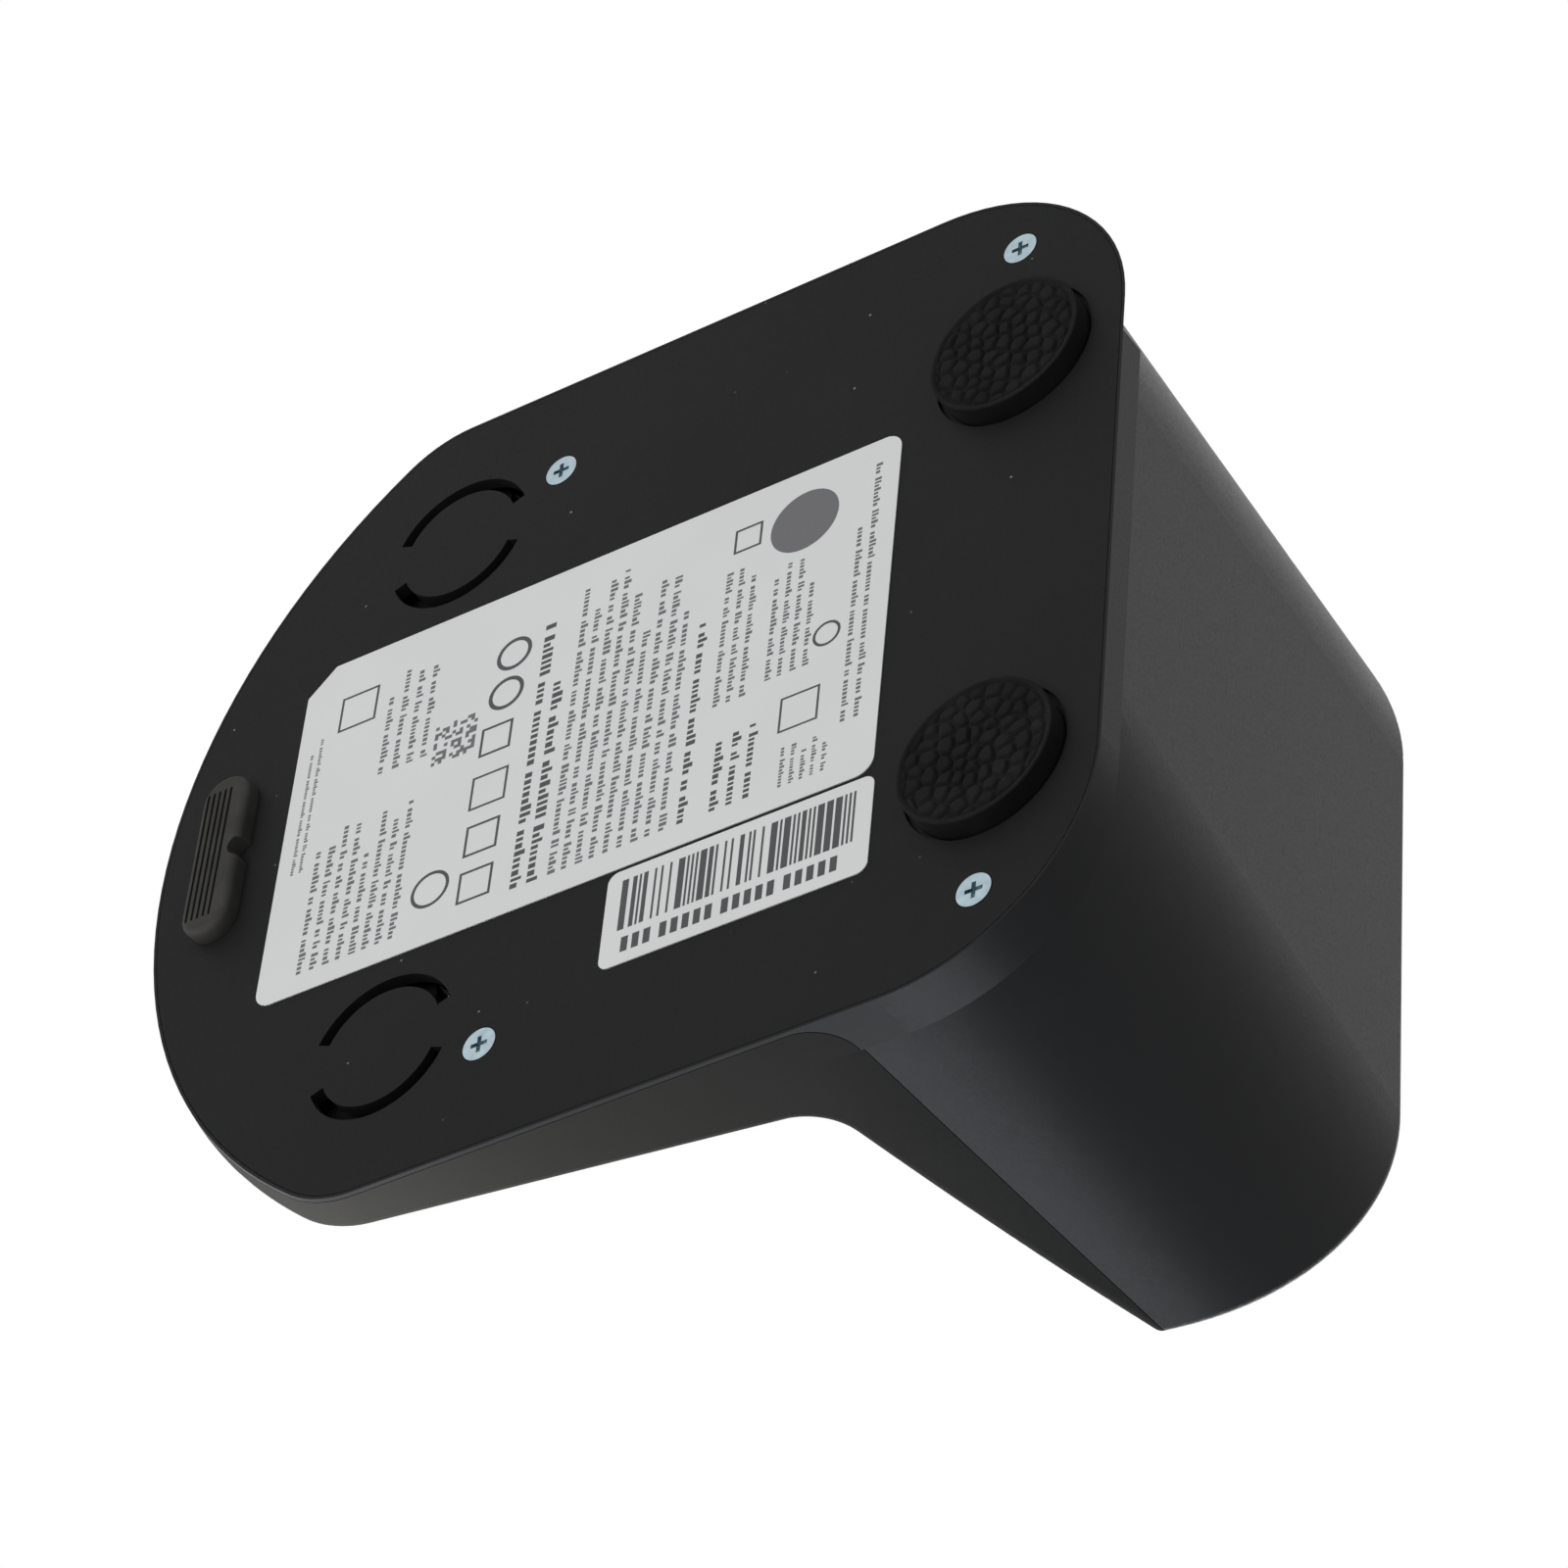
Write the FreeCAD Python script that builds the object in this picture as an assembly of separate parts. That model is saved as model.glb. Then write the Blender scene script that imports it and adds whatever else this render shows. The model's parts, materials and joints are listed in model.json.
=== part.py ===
import FreeCAD, Part
import math
import os

# All lengths are in millimetres and all angles in degrees.
# +X is the dock's right as a robot sees it from behind, +Y points to the tower, +Z is up from the floor.

# Overall form
BASE_WIDTH = 128.2
BASE_DEPTH = 141.5
FOOT_HEIGHT = 2.5
FRONT_RADIUS = 76.0
FRONT_BLEND = 16.0
FRONT_FLARE = 15.0
WALL = 2.0

# Ramp and tower
RAMP_LIP = 1.6
RAMP_ANGLE = 7.4
TOWER_DEPTH = 46.0
TOWER_LEAN = 11.3
TOWER_CORNER = 40.2
TOWER_CORNER_TAPER = 0.064
REAR_LEAN = 4.5
CREST_UP = 69.4
TOP_ANGLE = 29.7
INNER_CORNER = 7.0
EDGE_ROUND = 1.3

# Skirt, rim and parting line
SKIRT_CORNER = 28.0
SKIRT_HEIGHT = 4.0
SKIRT_SIDE_HEIGHT = 6.7
SKIRT_SWEEP = 9.7
SKIRT_STEP = 1.0
RIM_HEIGHT = 0.6
PARTING_DEPTH = 33.6
PARTING_BEHIND_CREST = 1.3199
PARTING_SWEEP = 6.0
PARTING_GAP = 0.1
RELIEF_FROM_SIDE = 34.1
RELIEF_FROM_REAR = 32.0
RELIEF_ANGLE = 40.0

# Bottom cover and its screws
COVER_THICKNESS = 1.8
COVER_INSET = 0.5
COVER_GAP = 0.1
REAR_SCREW_FROM_SIDE = 11.2
REAR_SCREW_FROM_REAR = 15.9
FRONT_SCREW_FROM_SIDE = 16.1
FRONT_SCREW_FROM_FRONT = 56.5
SCREW_LENGTH = 6.0
SCREW_DIAMETER = 2.6
SCREW_HEAD = 4.7
SCREW_HEAD_HEIGHT = 1.4
SCREW_CROSS = 2.4
SCREW_CROSS_WIDTH = 0.6
SCREW_CROSS_DEPTH = 0.9
SCREW_BOSS = 7.0
SCREW_BOSS_HEIGHT = 6.5
HOLE_GAP = 0.15

# Feet
REAR_FOOT_DIAMETER = 21.0
REAR_FOOT_FROM_SIDE = 30.5
REAR_FOOT_FROM_REAR = 15.7
REAR_FOOT_BEVEL = 0.5
FOOT_RECESS = 0.8
FOOT_RECESS_GAP = 0.6
FRONT_FOOT_LENGTH = 26.4
FRONT_FOOT_WIDTH = 7.3
FRONT_FOOT_FROM_FRONT = 10.3
FRONT_FOOT_NOTCH = 1.5
FRONT_FOOT_BEVEL = 0.9
FRONT_FOOT_RIBS = 5
RIB_LENGTH = 21.5
RIB_PITCH = 0.9
RIB_GROOVE = 0.4
RIB_DEPTH = 0.35

# Labels on the bottom cover
LABEL_THICKNESS = 0.15
LABEL_FROM_SIDE = 35.95
LABEL_FROM_FRONT = 19.7
LABEL_FROM_REAR = 31.2
LABEL_ROUND = 2.5
LABEL_CHAMFER = 4.0
BARCODE_WIDTH = 15.0
BARCODE_DEPTH = 37.6
BARCODE_FROM_REAR = 30.8
BARCODE_FROM_LABEL = 0.6
BARCODE_ROUND = 1.5

# Charging contacts, their springs and the ring slots below them
CONTACT_FROM_SIDE = 21.85
CONTACT_FROM_FRONT = 41.1
CONTACT_LENGTH = 24.0
CONTACT_WIDTH = 9.0
CONTACT_ROUND = 2.5
CONTACT_CROWN = 0.6
CONTACT_PROUD = 1.5
CONTACT_GAP = 0.35
CONTACT_STOP_GAP = 0.35
CONTACT_EAR = 2.0
CONTACT_EAR_WIDTH = 4.0
CONTACT_EAR_HEIGHT = 0.7
SPRING_SPAN = 15.0
SPRING_WIDTH = 5.0
SPRING_SHEET = 0.3
SPRING_GAP = 0.05
SLOT_RADIUS = 9.65
SLOT_WIDTH = 1.9
SLOT_BRIDGE = 44.0

# Infrared window, status light and infrared board in the tower front
WINDOW_WIDTH = 58.0
WINDOW_HEIGHT = 12.0
WINDOW_FROM_CREST = 13.4
WINDOW_ROUND = 3.0
WINDOW_FLANGE = 1.5
WINDOW_FLANGE_THICKNESS = 1.0
WINDOW_GAP = 0.15
LIGHT_DIAMETER = 3.0
LIGHT_FROM_CREST = 24.4
LIGHT_GAP = 0.1
IR_BOARD_WIDTH = 66.0
IR_BOARD_HEIGHT = 22.0
IR_BOARD_FROM_CREST = 16.4
IR_BOARD_SETBACK = 8.4
IR_BOARD_BOSS_X = 27.0
IR_BOARD_BOSS_FROM_CREST = 24.4
EMITTER_DIAMETER = 3.0
EMITTER_LENGTH = 5.2
EMITTER_PITCH = 18.0
EMITTER_COUNT = 3

# Power board in the tower
BOARD_THICKNESS = 1.6
BOARD_FROM_SIDE = 24.1
BOARD_HEIGHT = 46.0
BOARD_UP = 12.0
BOARD_FROM_REAR = 9.8
BOARD_BOSS_FROM_SIDE = 4.0
BOARD_BOSS_INSET = 10.0
BOARD_BOSS = 6.0
BOARD_SCREW_LENGTH = 6.0
BOARD_SCREW_DIAMETER = 2.4
BOARD_SCREW_HEAD = 4.6
BOARD_SCREW_HEAD_HEIGHT = 1.6
TRANSFORMER_X = -6.0
TRANSFORMER_LOW = 9.0
TRANSFORMER_WIDTH = 26.0
TRANSFORMER_FROM_CREST = 32.4
TRANSFORMER_DEPTH = 20.0
TRANSFORMER_BAND = 10.0
TRANSFORMER_BOBBIN = 22.0
BULK_CAPACITOR_X = 15.5
BULK_CAPACITOR_UP = 4.0
BULK_CAPACITOR_DIAMETER = 14.0
BULK_CAPACITOR_LENGTH = 22.5
OUTPUT_CAPACITOR_FROM_SIDE = 8.5
OUTPUT_CAPACITOR_UP = 30.0
OUTPUT_CAPACITOR_DIAMETER = 8.0
OUTPUT_CAPACITOR_LENGTH = 11.0
OUTPUT_CAPACITOR_PITCH = 9.0
OUTPUT_CAPACITOR_COUNT = 2
CAPACITOR_ROUND = 0.8
CHOKE_FROM_SIDE = 16.0
CHOKE_UP = 36.0
CHOKE_RING = 6.0
CHOKE_WIRE = 2.6
FUSE_FROM_SIDE = 5.0
FUSE_UP = 22.0
FUSE_DIAMETER = 5.2
FUSE_LENGTH = 15.0
FUSE_CAP = 4.0
FUSE_GLASS = 4.6
HEAT_SINK_FROM_SIDE = 7.5
HEAT_SINK_UP = 18.5
HEAT_SINK_WIDTH = 12.0
HEAT_SINK_HEIGHT = 10.0
HEAT_SINK_DEPTH = 12.0
HEAT_SINK_FINS = 4
HEAT_SINK_FIN = 1.4
HEAT_SINK_PLATE = 2.0
PLUG_X = 0.0
PLUG_UP = 3.0
PLUG_WIDTH = 14.0
PLUG_HEIGHT = 6.0
PLUG_DEPTH = 9.0

# Mains inlet in a pocket on the right of the rear housing
INLET_FROM_REAR = 21.8
INLET_UP = 14.0
POCKET_WIDTH = 21.0
POCKET_HEIGHT = 14.0
POCKET_ROUND = 3.0
POCKET_FLOOR_FROM_SIDE = 17.5
INLET_WIDTH = 18.4
INLET_HEIGHT = 10.0
INLET_LENGTH = 16.0
INLET_GAP = 0.15
INLET_FLANGE = 1.6
INLET_FLANGE_THICKNESS = 1.5
INLET_WELL_DEPTH = 11.5
INLET_WELL_DIAMETER = 8.2
INLET_WAIST = 6.0
PIN_PITCH = 8.6
PIN_DIAMETER = 2.4
PIN_LENGTH = 9.0
PIN_TAIL = 3.0

# Leads
LEAD_DIAMETER = 1.8
LEAD_GAP = 0.1
LEAD_X = 20.0
LEAD_TURN_FROM_FRONT = 53.0
PLUG_LEAD_PITCH = 6.0
LEAD_DROP = 3.0
MAINS_LEAD_REACH = 4.0

# Cutting bodies reach this far past what they cut
REACH = 30.0
TINY = 0.01
HALF_TURN = 180.0

# Derived places
PLATE = FOOT_HEIGHT
COVER_TOP = PLATE + COVER_THICKNESS
HALF_WIDTH = BASE_WIDTH / 2
FRONT_EDGE = -BASE_DEPTH / 2
REAR_EDGE = BASE_DEPTH / 2
TOWER_REAR = REAR_EDGE - SKIRT_STEP
TOWER_FRONT = TOWER_REAR - TOWER_DEPTH
BLEND_X = HALF_WIDTH - FRONT_BLEND
BLEND_BACK = FRONT_RADIUS - math.sqrt((FRONT_RADIUS - FRONT_BLEND) ** 2 - BLEND_X ** 2)
RAMP_SLOPE = math.tan(math.radians(RAMP_ANGLE))
RAMP_STRETCH = 1 / math.cos(math.radians(RAMP_ANGLE))
FACE_SLOPE = math.tan(math.radians(TOWER_LEAN))
FACE_STRETCH = 1 / math.cos(math.radians(TOWER_LEAN))
TOP_SLOPE = math.tan(math.radians(TOP_ANGLE))
TOP_STRETCH = 1 / math.cos(math.radians(TOP_ANGLE))
REAR_SLOPE = math.tan(math.radians(REAR_LEAN))
FLARE_SLOPE = math.tan(math.radians(FRONT_FLARE))
CREST_Z = PLATE + CREST_UP
CREST_Y = TOWER_FRONT + FACE_SLOPE * CREST_UP
TOWER_TOP = CREST_Z + TOP_SLOPE * TOWER_DEPTH
WINDOW_UP = CREST_UP - WINDOW_FROM_CREST
LIGHT_UP = CREST_UP - LIGHT_FROM_CREST
IR_BOARD_UP = CREST_UP - IR_BOARD_FROM_CREST
IR_BOARD_BOSS_UP = CREST_UP - IR_BOARD_BOSS_FROM_CREST
TRANSFORMER_HEIGHT = CREST_UP - TRANSFORMER_FROM_CREST - BOARD_UP - TRANSFORMER_LOW
TRANSFORMER_UP = TRANSFORMER_LOW + TRANSFORMER_HEIGHT / 2
PARTING_Y = TOWER_REAR - PARTING_DEPTH
CONTACT_X = HALF_WIDTH - CONTACT_FROM_SIDE
CONTACT_Y = FRONT_EDGE + CONTACT_FROM_FRONT
LABEL_WIDTH = BASE_WIDTH - 2 * LABEL_FROM_SIDE
LABEL_DEPTH = BASE_DEPTH - LABEL_FROM_FRONT - LABEL_FROM_REAR
BOARD_WIDTH = BASE_WIDTH - 2 * BOARD_FROM_SIDE
BOARD_BOSS_X = BOARD_WIDTH / 2 - BOARD_BOSS_FROM_SIDE
BOARD_BACK = TOWER_REAR - BOARD_FROM_REAR
BOARD_FRONT = BOARD_BACK - BOARD_THICKNESS
BOARD_LOW = PLATE + BOARD_UP
INLET_Y = REAR_EDGE - INLET_FROM_REAR
INLET_Z = PLATE + INLET_UP
INLET_FACE = HALF_WIDTH - POCKET_FLOOR_FROM_SIDE
LEAD_Z = COVER_TOP + LEAD_GAP + LEAD_DIAMETER / 2
SIDES = {"right": 1, "left": -1}
UP = FreeCAD.Vector(0, 0, 1)
RIGHT = FreeCAD.Vector(1, 0, 0)
FORWARD = FreeCAD.Vector(0, -1, 0)


def vec(x, y, z=0.0):
    return FreeCAD.Vector(x, y, z)


def arc(start, middle, end):
    return Part.Arc(start, middle, end).toShape()


def closed_face(corners):
    return Part.Face(Part.makePolygon(corners + corners[:1]))


def centred_box(width, depth, height, centre):
    return Part.makeBox(width, depth, height, centre - vec(width / 2, depth / 2, height / 2))


def joined(first, *others):
    return first.multiFuse(list(others)).removeSplitter()


def group(pieces):
    return Part.makeCompound(pieces)


def rounded_corner(before, corner, after, radius):
    """Start, middle and end of the arc that rounds one corner of a profile."""
    back = (before - corner).normalize()
    ahead = (after - corner).normalize()
    half = back.getAngle(ahead) / 2
    reach = radius / math.tan(half)
    centre = corner + (back + ahead).normalize() * (radius / math.sin(half))
    middle = centre + (corner - centre).normalize() * radius
    return corner + back * reach, middle, corner + ahead * reach


def rounded_plate(width, depth, thickness, radius):
    """Upright prism with round corners, centred on the origin and standing on z = 0."""
    box = Part.makeBox(width, depth, thickness, vec(-width / 2, -depth / 2, 0))
    upright = [edge for edge in box.Edges if edge.BoundBox.ZLength > thickness - TINY]
    return box.makeFillet(radius, upright)


def placed(shape, position, axis=UP, angle=0.0):
    copy = shape.copy()
    copy.Placement = FreeCAD.Placement(position, FreeCAD.Rotation(axis, angle)) * shape.Placement
    return copy


def tube(points, diameter):
    """Round lead along straight runs, with a ball at each bend."""
    pieces = []
    for start, end in zip(points, points[1:]):
        run = end - start
        pieces.append(Part.makeCylinder(diameter / 2, run.Length, start, run))
    for bend in points[1:-1]:
        pieces.append(Part.makeSphere(diameter / 2, bend))
    return joined(pieces[0], *pieces[1:])


def plan_wire(inset, corner, rear, front, height):
    """Plan outline at a height: bowed front, straight sides, round rear corners, moved in by an inset."""
    side = HALF_WIDTH - inset
    bow = FRONT_RADIUS - inset
    blend = FRONT_BLEND - inset
    turn = corner - inset
    back = rear - inset
    blend_centre = vec(BLEND_X, front + BLEND_BACK, height)
    bow_centre = vec(0, front + FRONT_RADIUS, height)
    outwards = (blend_centre - bow_centre).normalize()
    bow_end = bow_centre + outwards * bow
    blend_middle = blend_centre + (outwards + RIGHT).normalize() * blend
    side_front = vec(side, blend_centre.y, height)
    side_rear = vec(side, back - turn, height)
    diagonal = turn * math.cos(math.radians(45))
    turn_middle = vec(side - turn + diagonal, back - turn + diagonal, height)
    rear_end = vec(side - turn, back, height)

    def mirrored(point):
        return vec(-point.x, point.y, point.z)

    return Part.Wire([
        arc(mirrored(bow_end), bow_centre + FORWARD * bow, bow_end),
        arc(bow_end, blend_middle, side_front),
        Part.makeLine(side_front, side_rear),
        arc(side_rear, turn_middle, rear_end),
        Part.makeLine(rear_end, mirrored(rear_end)),
        arc(mirrored(rear_end), mirrored(turn_middle), mirrored(side_rear)),
        Part.makeLine(mirrored(side_rear), mirrored(side_front)),
        arc(mirrored(side_front), mirrored(blend_middle), mirrored(bow_end)),
    ])


def leaning_walls(inset, low):
    """Solid over the tower's plan outline: leaning rear, flared front and upright sides."""
    wires = []
    for height in (low, TOWER_TOP):
        rise = height - PLATE
        corner = TOWER_CORNER - TOWER_CORNER_TAPER * rise
        rear = TOWER_REAR - REAR_SLOPE * rise
        wires.append(plan_wire(inset, corner, rear, FRONT_EDGE - FLARE_SLOPE * rise, height))
    return Part.makeLoft(wires, True, True)


def base_prism(inset, low, high):
    """Upright solid over the base's plan outline."""
    wire = plan_wire(inset, SKIRT_CORNER, REAR_EDGE, FRONT_EDGE, low)
    return Part.Face(wire).extrude(UP * (high - low))


def across(edges):
    """Prism over a closed profile in the plane of Y and Z, past both sides of the dock."""
    face = Part.Face(Part.Wire(edges))
    face.translate(vec(-HALF_WIDTH - REACH, 0))
    return face.extrude(vec(BASE_WIDTH + 2 * REACH, 0))


def profile_edges(points):
    return Part.makePolygon(points).Edges


def ramp_height(y, depth=0.0):
    return PLATE + RAMP_LIP + RAMP_SLOPE * (y - FRONT_EDGE) - depth * RAMP_STRETCH


def tower_face(z, depth=0.0):
    return TOWER_FRONT + FACE_SLOPE * (z - PLATE) + depth * FACE_STRETCH


def top_height(y, depth=0.0):
    return CREST_Z + TOP_SLOPE * (y - CREST_Y) - depth * TOP_STRETCH


def body_form(inset, low):
    """Ramp and tower as one solid, with its faces moved in by an inset."""
    foot = PLATE + RAMP_LIP - inset * RAMP_STRETCH
    meet = (tower_face(foot, inset) - FACE_SLOPE * RAMP_SLOPE * FRONT_EDGE) / (1 - FACE_SLOPE * RAMP_SLOPE)
    start = vec(0, FRONT_EDGE - REACH, ramp_height(FRONT_EDGE - REACH, inset))
    corner = vec(0, meet, ramp_height(meet, inset))
    ridge = inset * (FACE_STRETCH * TOP_SLOPE - TOP_STRETCH) / (1 - FACE_SLOPE * TOP_SLOPE)
    crest = vec(0, tower_face(CREST_Z + ridge, inset), CREST_Z + ridge)
    into, middle, out = rounded_corner(start, corner, crest, INNER_CORNER + inset)
    beyond = REAR_EDGE + REACH
    around = [crest, vec(0, beyond, top_height(beyond, inset)), vec(0, beyond, low - REACH),
              vec(0, FRONT_EDGE - REACH, low - REACH), start, into]
    profile = across([arc(into, middle, out), Part.makeLine(out, crest)] + profile_edges(around))
    return leaning_walls(inset, low).common(profile)


def skirt_form():
    """Low band round the rear whose ledge drops along an arc towards the rear edge."""
    flat = PLATE + SKIRT_SIDE_HEIGHT
    drop = SKIRT_SIDE_HEIGHT - SKIRT_HEIGHT
    run = math.sqrt(SKIRT_SWEEP ** 2 - (SKIRT_SWEEP - drop) ** 2)
    half = math.asin(run / SKIRT_SWEEP) / 2
    bend = vec(0, REAR_EDGE - run, flat)
    middle = bend + vec(0, math.sin(half), math.cos(half) - 1) * SKIRT_SWEEP
    end = vec(0, REAR_EDGE, flat - drop)
    start = TOWER_FRONT
    around = [end, vec(0, REAR_EDGE + REACH, end.z), vec(0, REAR_EDGE + REACH, PLATE - REACH),
              vec(0, start, PLATE - REACH), vec(0, start, flat), bend]
    keep = across([arc(bend, middle, end)] + profile_edges(around))
    return base_prism(0.0, PLATE, flat + REACH).common(keep)


def corner_relief():
    """What the bevel under the right rear corner takes away, so that a cord can leave beside the floor."""
    inset = SKIRT_SIDE_HEIGHT * math.tan(math.radians(RELIEF_ANGLE))
    bevel = Part.makeLoft([
        plan_wire(0.0, SKIRT_CORNER, REAR_EDGE, FRONT_EDGE, PLATE),
        plan_wire(inset, SKIRT_CORNER, REAR_EDGE, FRONT_EDGE, PLATE + SKIRT_SIDE_HEIGHT)], True, True)
    corner = Part.makeBox(RELIEF_FROM_SIDE + REACH, RELIEF_FROM_REAR + REACH, SKIRT_SIDE_HEIGHT,
                          vec(HALF_WIDTH - RELIEF_FROM_SIDE, REAR_EDGE - RELIEF_FROM_REAR, PLATE))
    return corner.cut(bevel)


def outer_form():
    """Outside of the closed dock, with rounded ramp and tower edges and the skirt at the rear."""
    body = body_form(0.0, PLATE)
    bounds = []
    for edge in body.Edges:
        centre = edge.CenterOfMass
        if abs(centre.z - top_height(centre.y)) < TINY:
            bounds.append(edge)
    for face in body.Faces:
        normal = face.normalAt(*middle_of(face))
        below_crest = abs(face.CenterOfMass.x) < TINY and face.CenterOfMass.z < CREST_Z
        if normal.z > TINY and normal.y < -TINY and below_crest:
            bounds += [edge for edge in face.Edges if edge.BoundBox.YLength > TINY]
    body = body.makeFillet(EDGE_ROUND, bounds)
    return joined(body, skirt_form().cut(corner_relief()))


def middle_of(face):
    first_u, last_u, first_v, last_v = face.ParameterRange
    return (first_u + last_u) / 2, (first_v + last_v) / 2


def parting_regions():
    """Prisms that hold the rear housing with its rim, and the front cover."""
    lean = (CREST_Y + PARTING_BEHIND_CREST - PARTING_Y) / CREST_UP
    regions = []
    for gap, rear in ((0.0, True), (PARTING_GAP, False)):
        rim = PLATE + RIM_HEIGHT + gap
        top = TOWER_TOP + REACH
        crest = vec(0, PARTING_Y - gap + lean * (top - PLATE), top)
        corner = vec(0, PARTING_Y - gap + lean * (rim - PLATE), rim)
        ahead = vec(0, FRONT_EDGE - REACH, rim)
        into, middle, out = rounded_corner(crest, corner, ahead, PARTING_SWEEP)
        sweep = [Part.makeLine(crest, into), arc(into, middle, out)]
        if rear:
            around = [out, ahead, vec(0, FRONT_EDGE - REACH, PLATE - REACH),
                      vec(0, REAR_EDGE + REACH, PLATE - REACH), vec(0, REAR_EDGE + REACH, top), crest]
        else:
            around = [out, ahead, vec(0, FRONT_EDGE - REACH, top), crest]
        regions.append(across(sweep + profile_edges(around)))
    return regions


def screw_places():
    rear_x = HALF_WIDTH - REAR_SCREW_FROM_SIDE
    front_x = HALF_WIDTH - FRONT_SCREW_FROM_SIDE
    rear_y = REAR_EDGE - REAR_SCREW_FROM_REAR
    front_y = FRONT_EDGE + FRONT_SCREW_FROM_FRONT
    rear = [vec(side * rear_x, rear_y, PLATE) for side in SIDES.values()]
    front = [vec(side * front_x, front_y, PLATE) for side in SIDES.values()]
    return rear, front


def rear_foot_place(side):
    return vec(side * (HALF_WIDTH - REAR_FOOT_FROM_SIDE), REAR_EDGE - REAR_FOOT_FROM_REAR)


def contact_place(side):
    return vec(side * CONTACT_X, CONTACT_Y)


def on_tower_face(shape, up, depth=0.0):
    """Moves a shape drawn in X and Y, with Z out of the wall, onto the tower front."""
    z = PLATE + up
    lean = math.radians(TOWER_LEAN)
    place = vec(0, tower_face(z), z) + vec(0, math.cos(lean), -math.sin(lean)) * depth
    return placed(shape, place, RIGHT, 90 - TOWER_LEAN)


def along_face(height):
    """Height over the plate turned into a distance along the leaning tower front."""
    return height * FACE_STRETCH


def board_boss_places():
    low = BOARD_LOW + BOARD_BOSS_INSET
    high = BOARD_LOW + BOARD_HEIGHT - BOARD_BOSS_INSET
    return [vec(side * BOARD_BOSS_X, BOARD_FRONT, z) for side in SIDES.values() for z in (low, high)]


def ir_boss_offsets():
    rise = along_face(IR_BOARD_BOSS_UP - IR_BOARD_UP)
    return [vec(side * IR_BOARD_BOSS_X, rise) for side in SIDES.values()]


def pocket_prism(grow, start):
    plate = rounded_plate(POCKET_HEIGHT + 2 * grow, POCKET_WIDTH + 2 * grow, HALF_WIDTH + REACH - start,
                          POCKET_ROUND + grow)
    return placed(plate, vec(start, INLET_Y, INLET_Z), vec(0, 1), 90)


def rear_housing(form, shell, region):
    housing = shell.common(region)
    bosses = []
    holes = [base_prism(COVER_INSET - COVER_GAP, PLATE - REACH, COVER_TOP)]
    for place in board_boss_places():
        seat = vec(place.x, BOARD_BACK, place.z)
        bosses.append(Part.makeCylinder(BOARD_BOSS / 2, REACH, seat, -FORWARD).common(form))
        holes.append(Part.makeCylinder(BOARD_SCREW_DIAMETER / 2, BOARD_SCREW_LENGTH, place, -FORWARD))
    for place in screw_places()[0]:
        seat = vec(place.x, place.y, COVER_TOP)
        bosses.append(Part.makeCylinder(SCREW_BOSS / 2, SCREW_BOSS_HEIGHT, seat).common(form))
        holes.append(Part.makeCylinder(SCREW_DIAMETER / 2, SCREW_LENGTH, place))
    bosses.append(pocket_prism(WALL, INLET_FACE - WALL).common(form).common(region))
    holes.append(pocket_prism(0.0, INLET_FACE))
    holes.append(placed(rounded_plate(INLET_HEIGHT + 2 * INLET_GAP, INLET_WIDTH + 2 * INLET_GAP,
                                      2 * WALL, INLET_HEIGHT / 2 - TINY),
                        vec(INLET_FACE - 1.5 * WALL, INLET_Y, INLET_Z), vec(0, 1), 90))
    return joined(housing, *bosses).cut(group(holes))


def front_cover(form, shell, region):
    cover = shell.common(region)
    bosses = []
    holes = [base_prism(COVER_INSET - COVER_GAP, PLATE - REACH, COVER_TOP)]
    for place in screw_places()[1]:
        seat = vec(place.x, place.y, COVER_TOP)
        bosses.append(Part.makeCylinder(SCREW_BOSS / 2, REACH, seat).common(form))
        holes.append(Part.makeCylinder(SCREW_DIAMETER / 2, SCREW_LENGTH, place))
    for offset in ir_boss_offsets():
        post = Part.makeCylinder(BOARD_BOSS / 2, IR_BOARD_SETBACK - WALL / 2, offset)
        bosses.append(on_tower_face(post, IR_BOARD_UP, IR_BOARD_SETBACK))
        pilot = Part.makeCylinder(BOARD_SCREW_DIAMETER / 2, BOARD_SCREW_LENGTH, offset)
        holes.append(on_tower_face(pilot, IR_BOARD_UP, IR_BOARD_SETBACK + BOARD_THICKNESS))
    window = rounded_plate(WINDOW_WIDTH + 2 * WINDOW_GAP, WINDOW_HEIGHT + 2 * WINDOW_GAP, 3 * WALL,
                           WINDOW_ROUND)
    holes.append(on_tower_face(window, WINDOW_UP, 2 * WALL))
    light = Part.makeCylinder(LIGHT_DIAMETER / 2 + LIGHT_GAP, 3 * WALL)
    holes.append(on_tower_face(light, LIGHT_UP, 2 * WALL))
    for side in SIDES.values():
        opening = rounded_plate(CONTACT_LENGTH + 2 * CONTACT_GAP, CONTACT_WIDTH + 2 * CONTACT_GAP,
                                REACH, CONTACT_ROUND + CONTACT_GAP)
        holes.append(placed(opening, contact_place(side) + UP * COVER_TOP))
    return joined(cover, *bosses).cut(group(holes))


def ring_slot(side):
    """Two arcs of a ring, held by a bridge at the front and at the rear."""
    inner = SLOT_RADIUS - SLOT_WIDTH / 2
    outer = SLOT_RADIUS + SLOT_WIDTH / 2
    sweep = HALF_TURN - SLOT_BRIDGE
    arcs = []
    for middle in (0.0, HALF_TURN):
        disc = Part.makeCylinder(outer, 2 * COVER_THICKNESS, vec(0, 0), UP, sweep)
        core = Part.makeCylinder(inner, 2 * COVER_THICKNESS)
        turned = placed(disc.cut(core), contact_place(side) + UP * (PLATE - COVER_THICKNESS / 2), UP,
                        middle - sweep / 2)
        arcs.append(turned)
    return arcs


def head_cone(grow):
    """Countersunk head, wide at the cover's outer face."""
    return Part.makeCone(SCREW_HEAD / 2 + grow, SCREW_DIAMETER / 2 + grow, SCREW_HEAD_HEIGHT)


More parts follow.
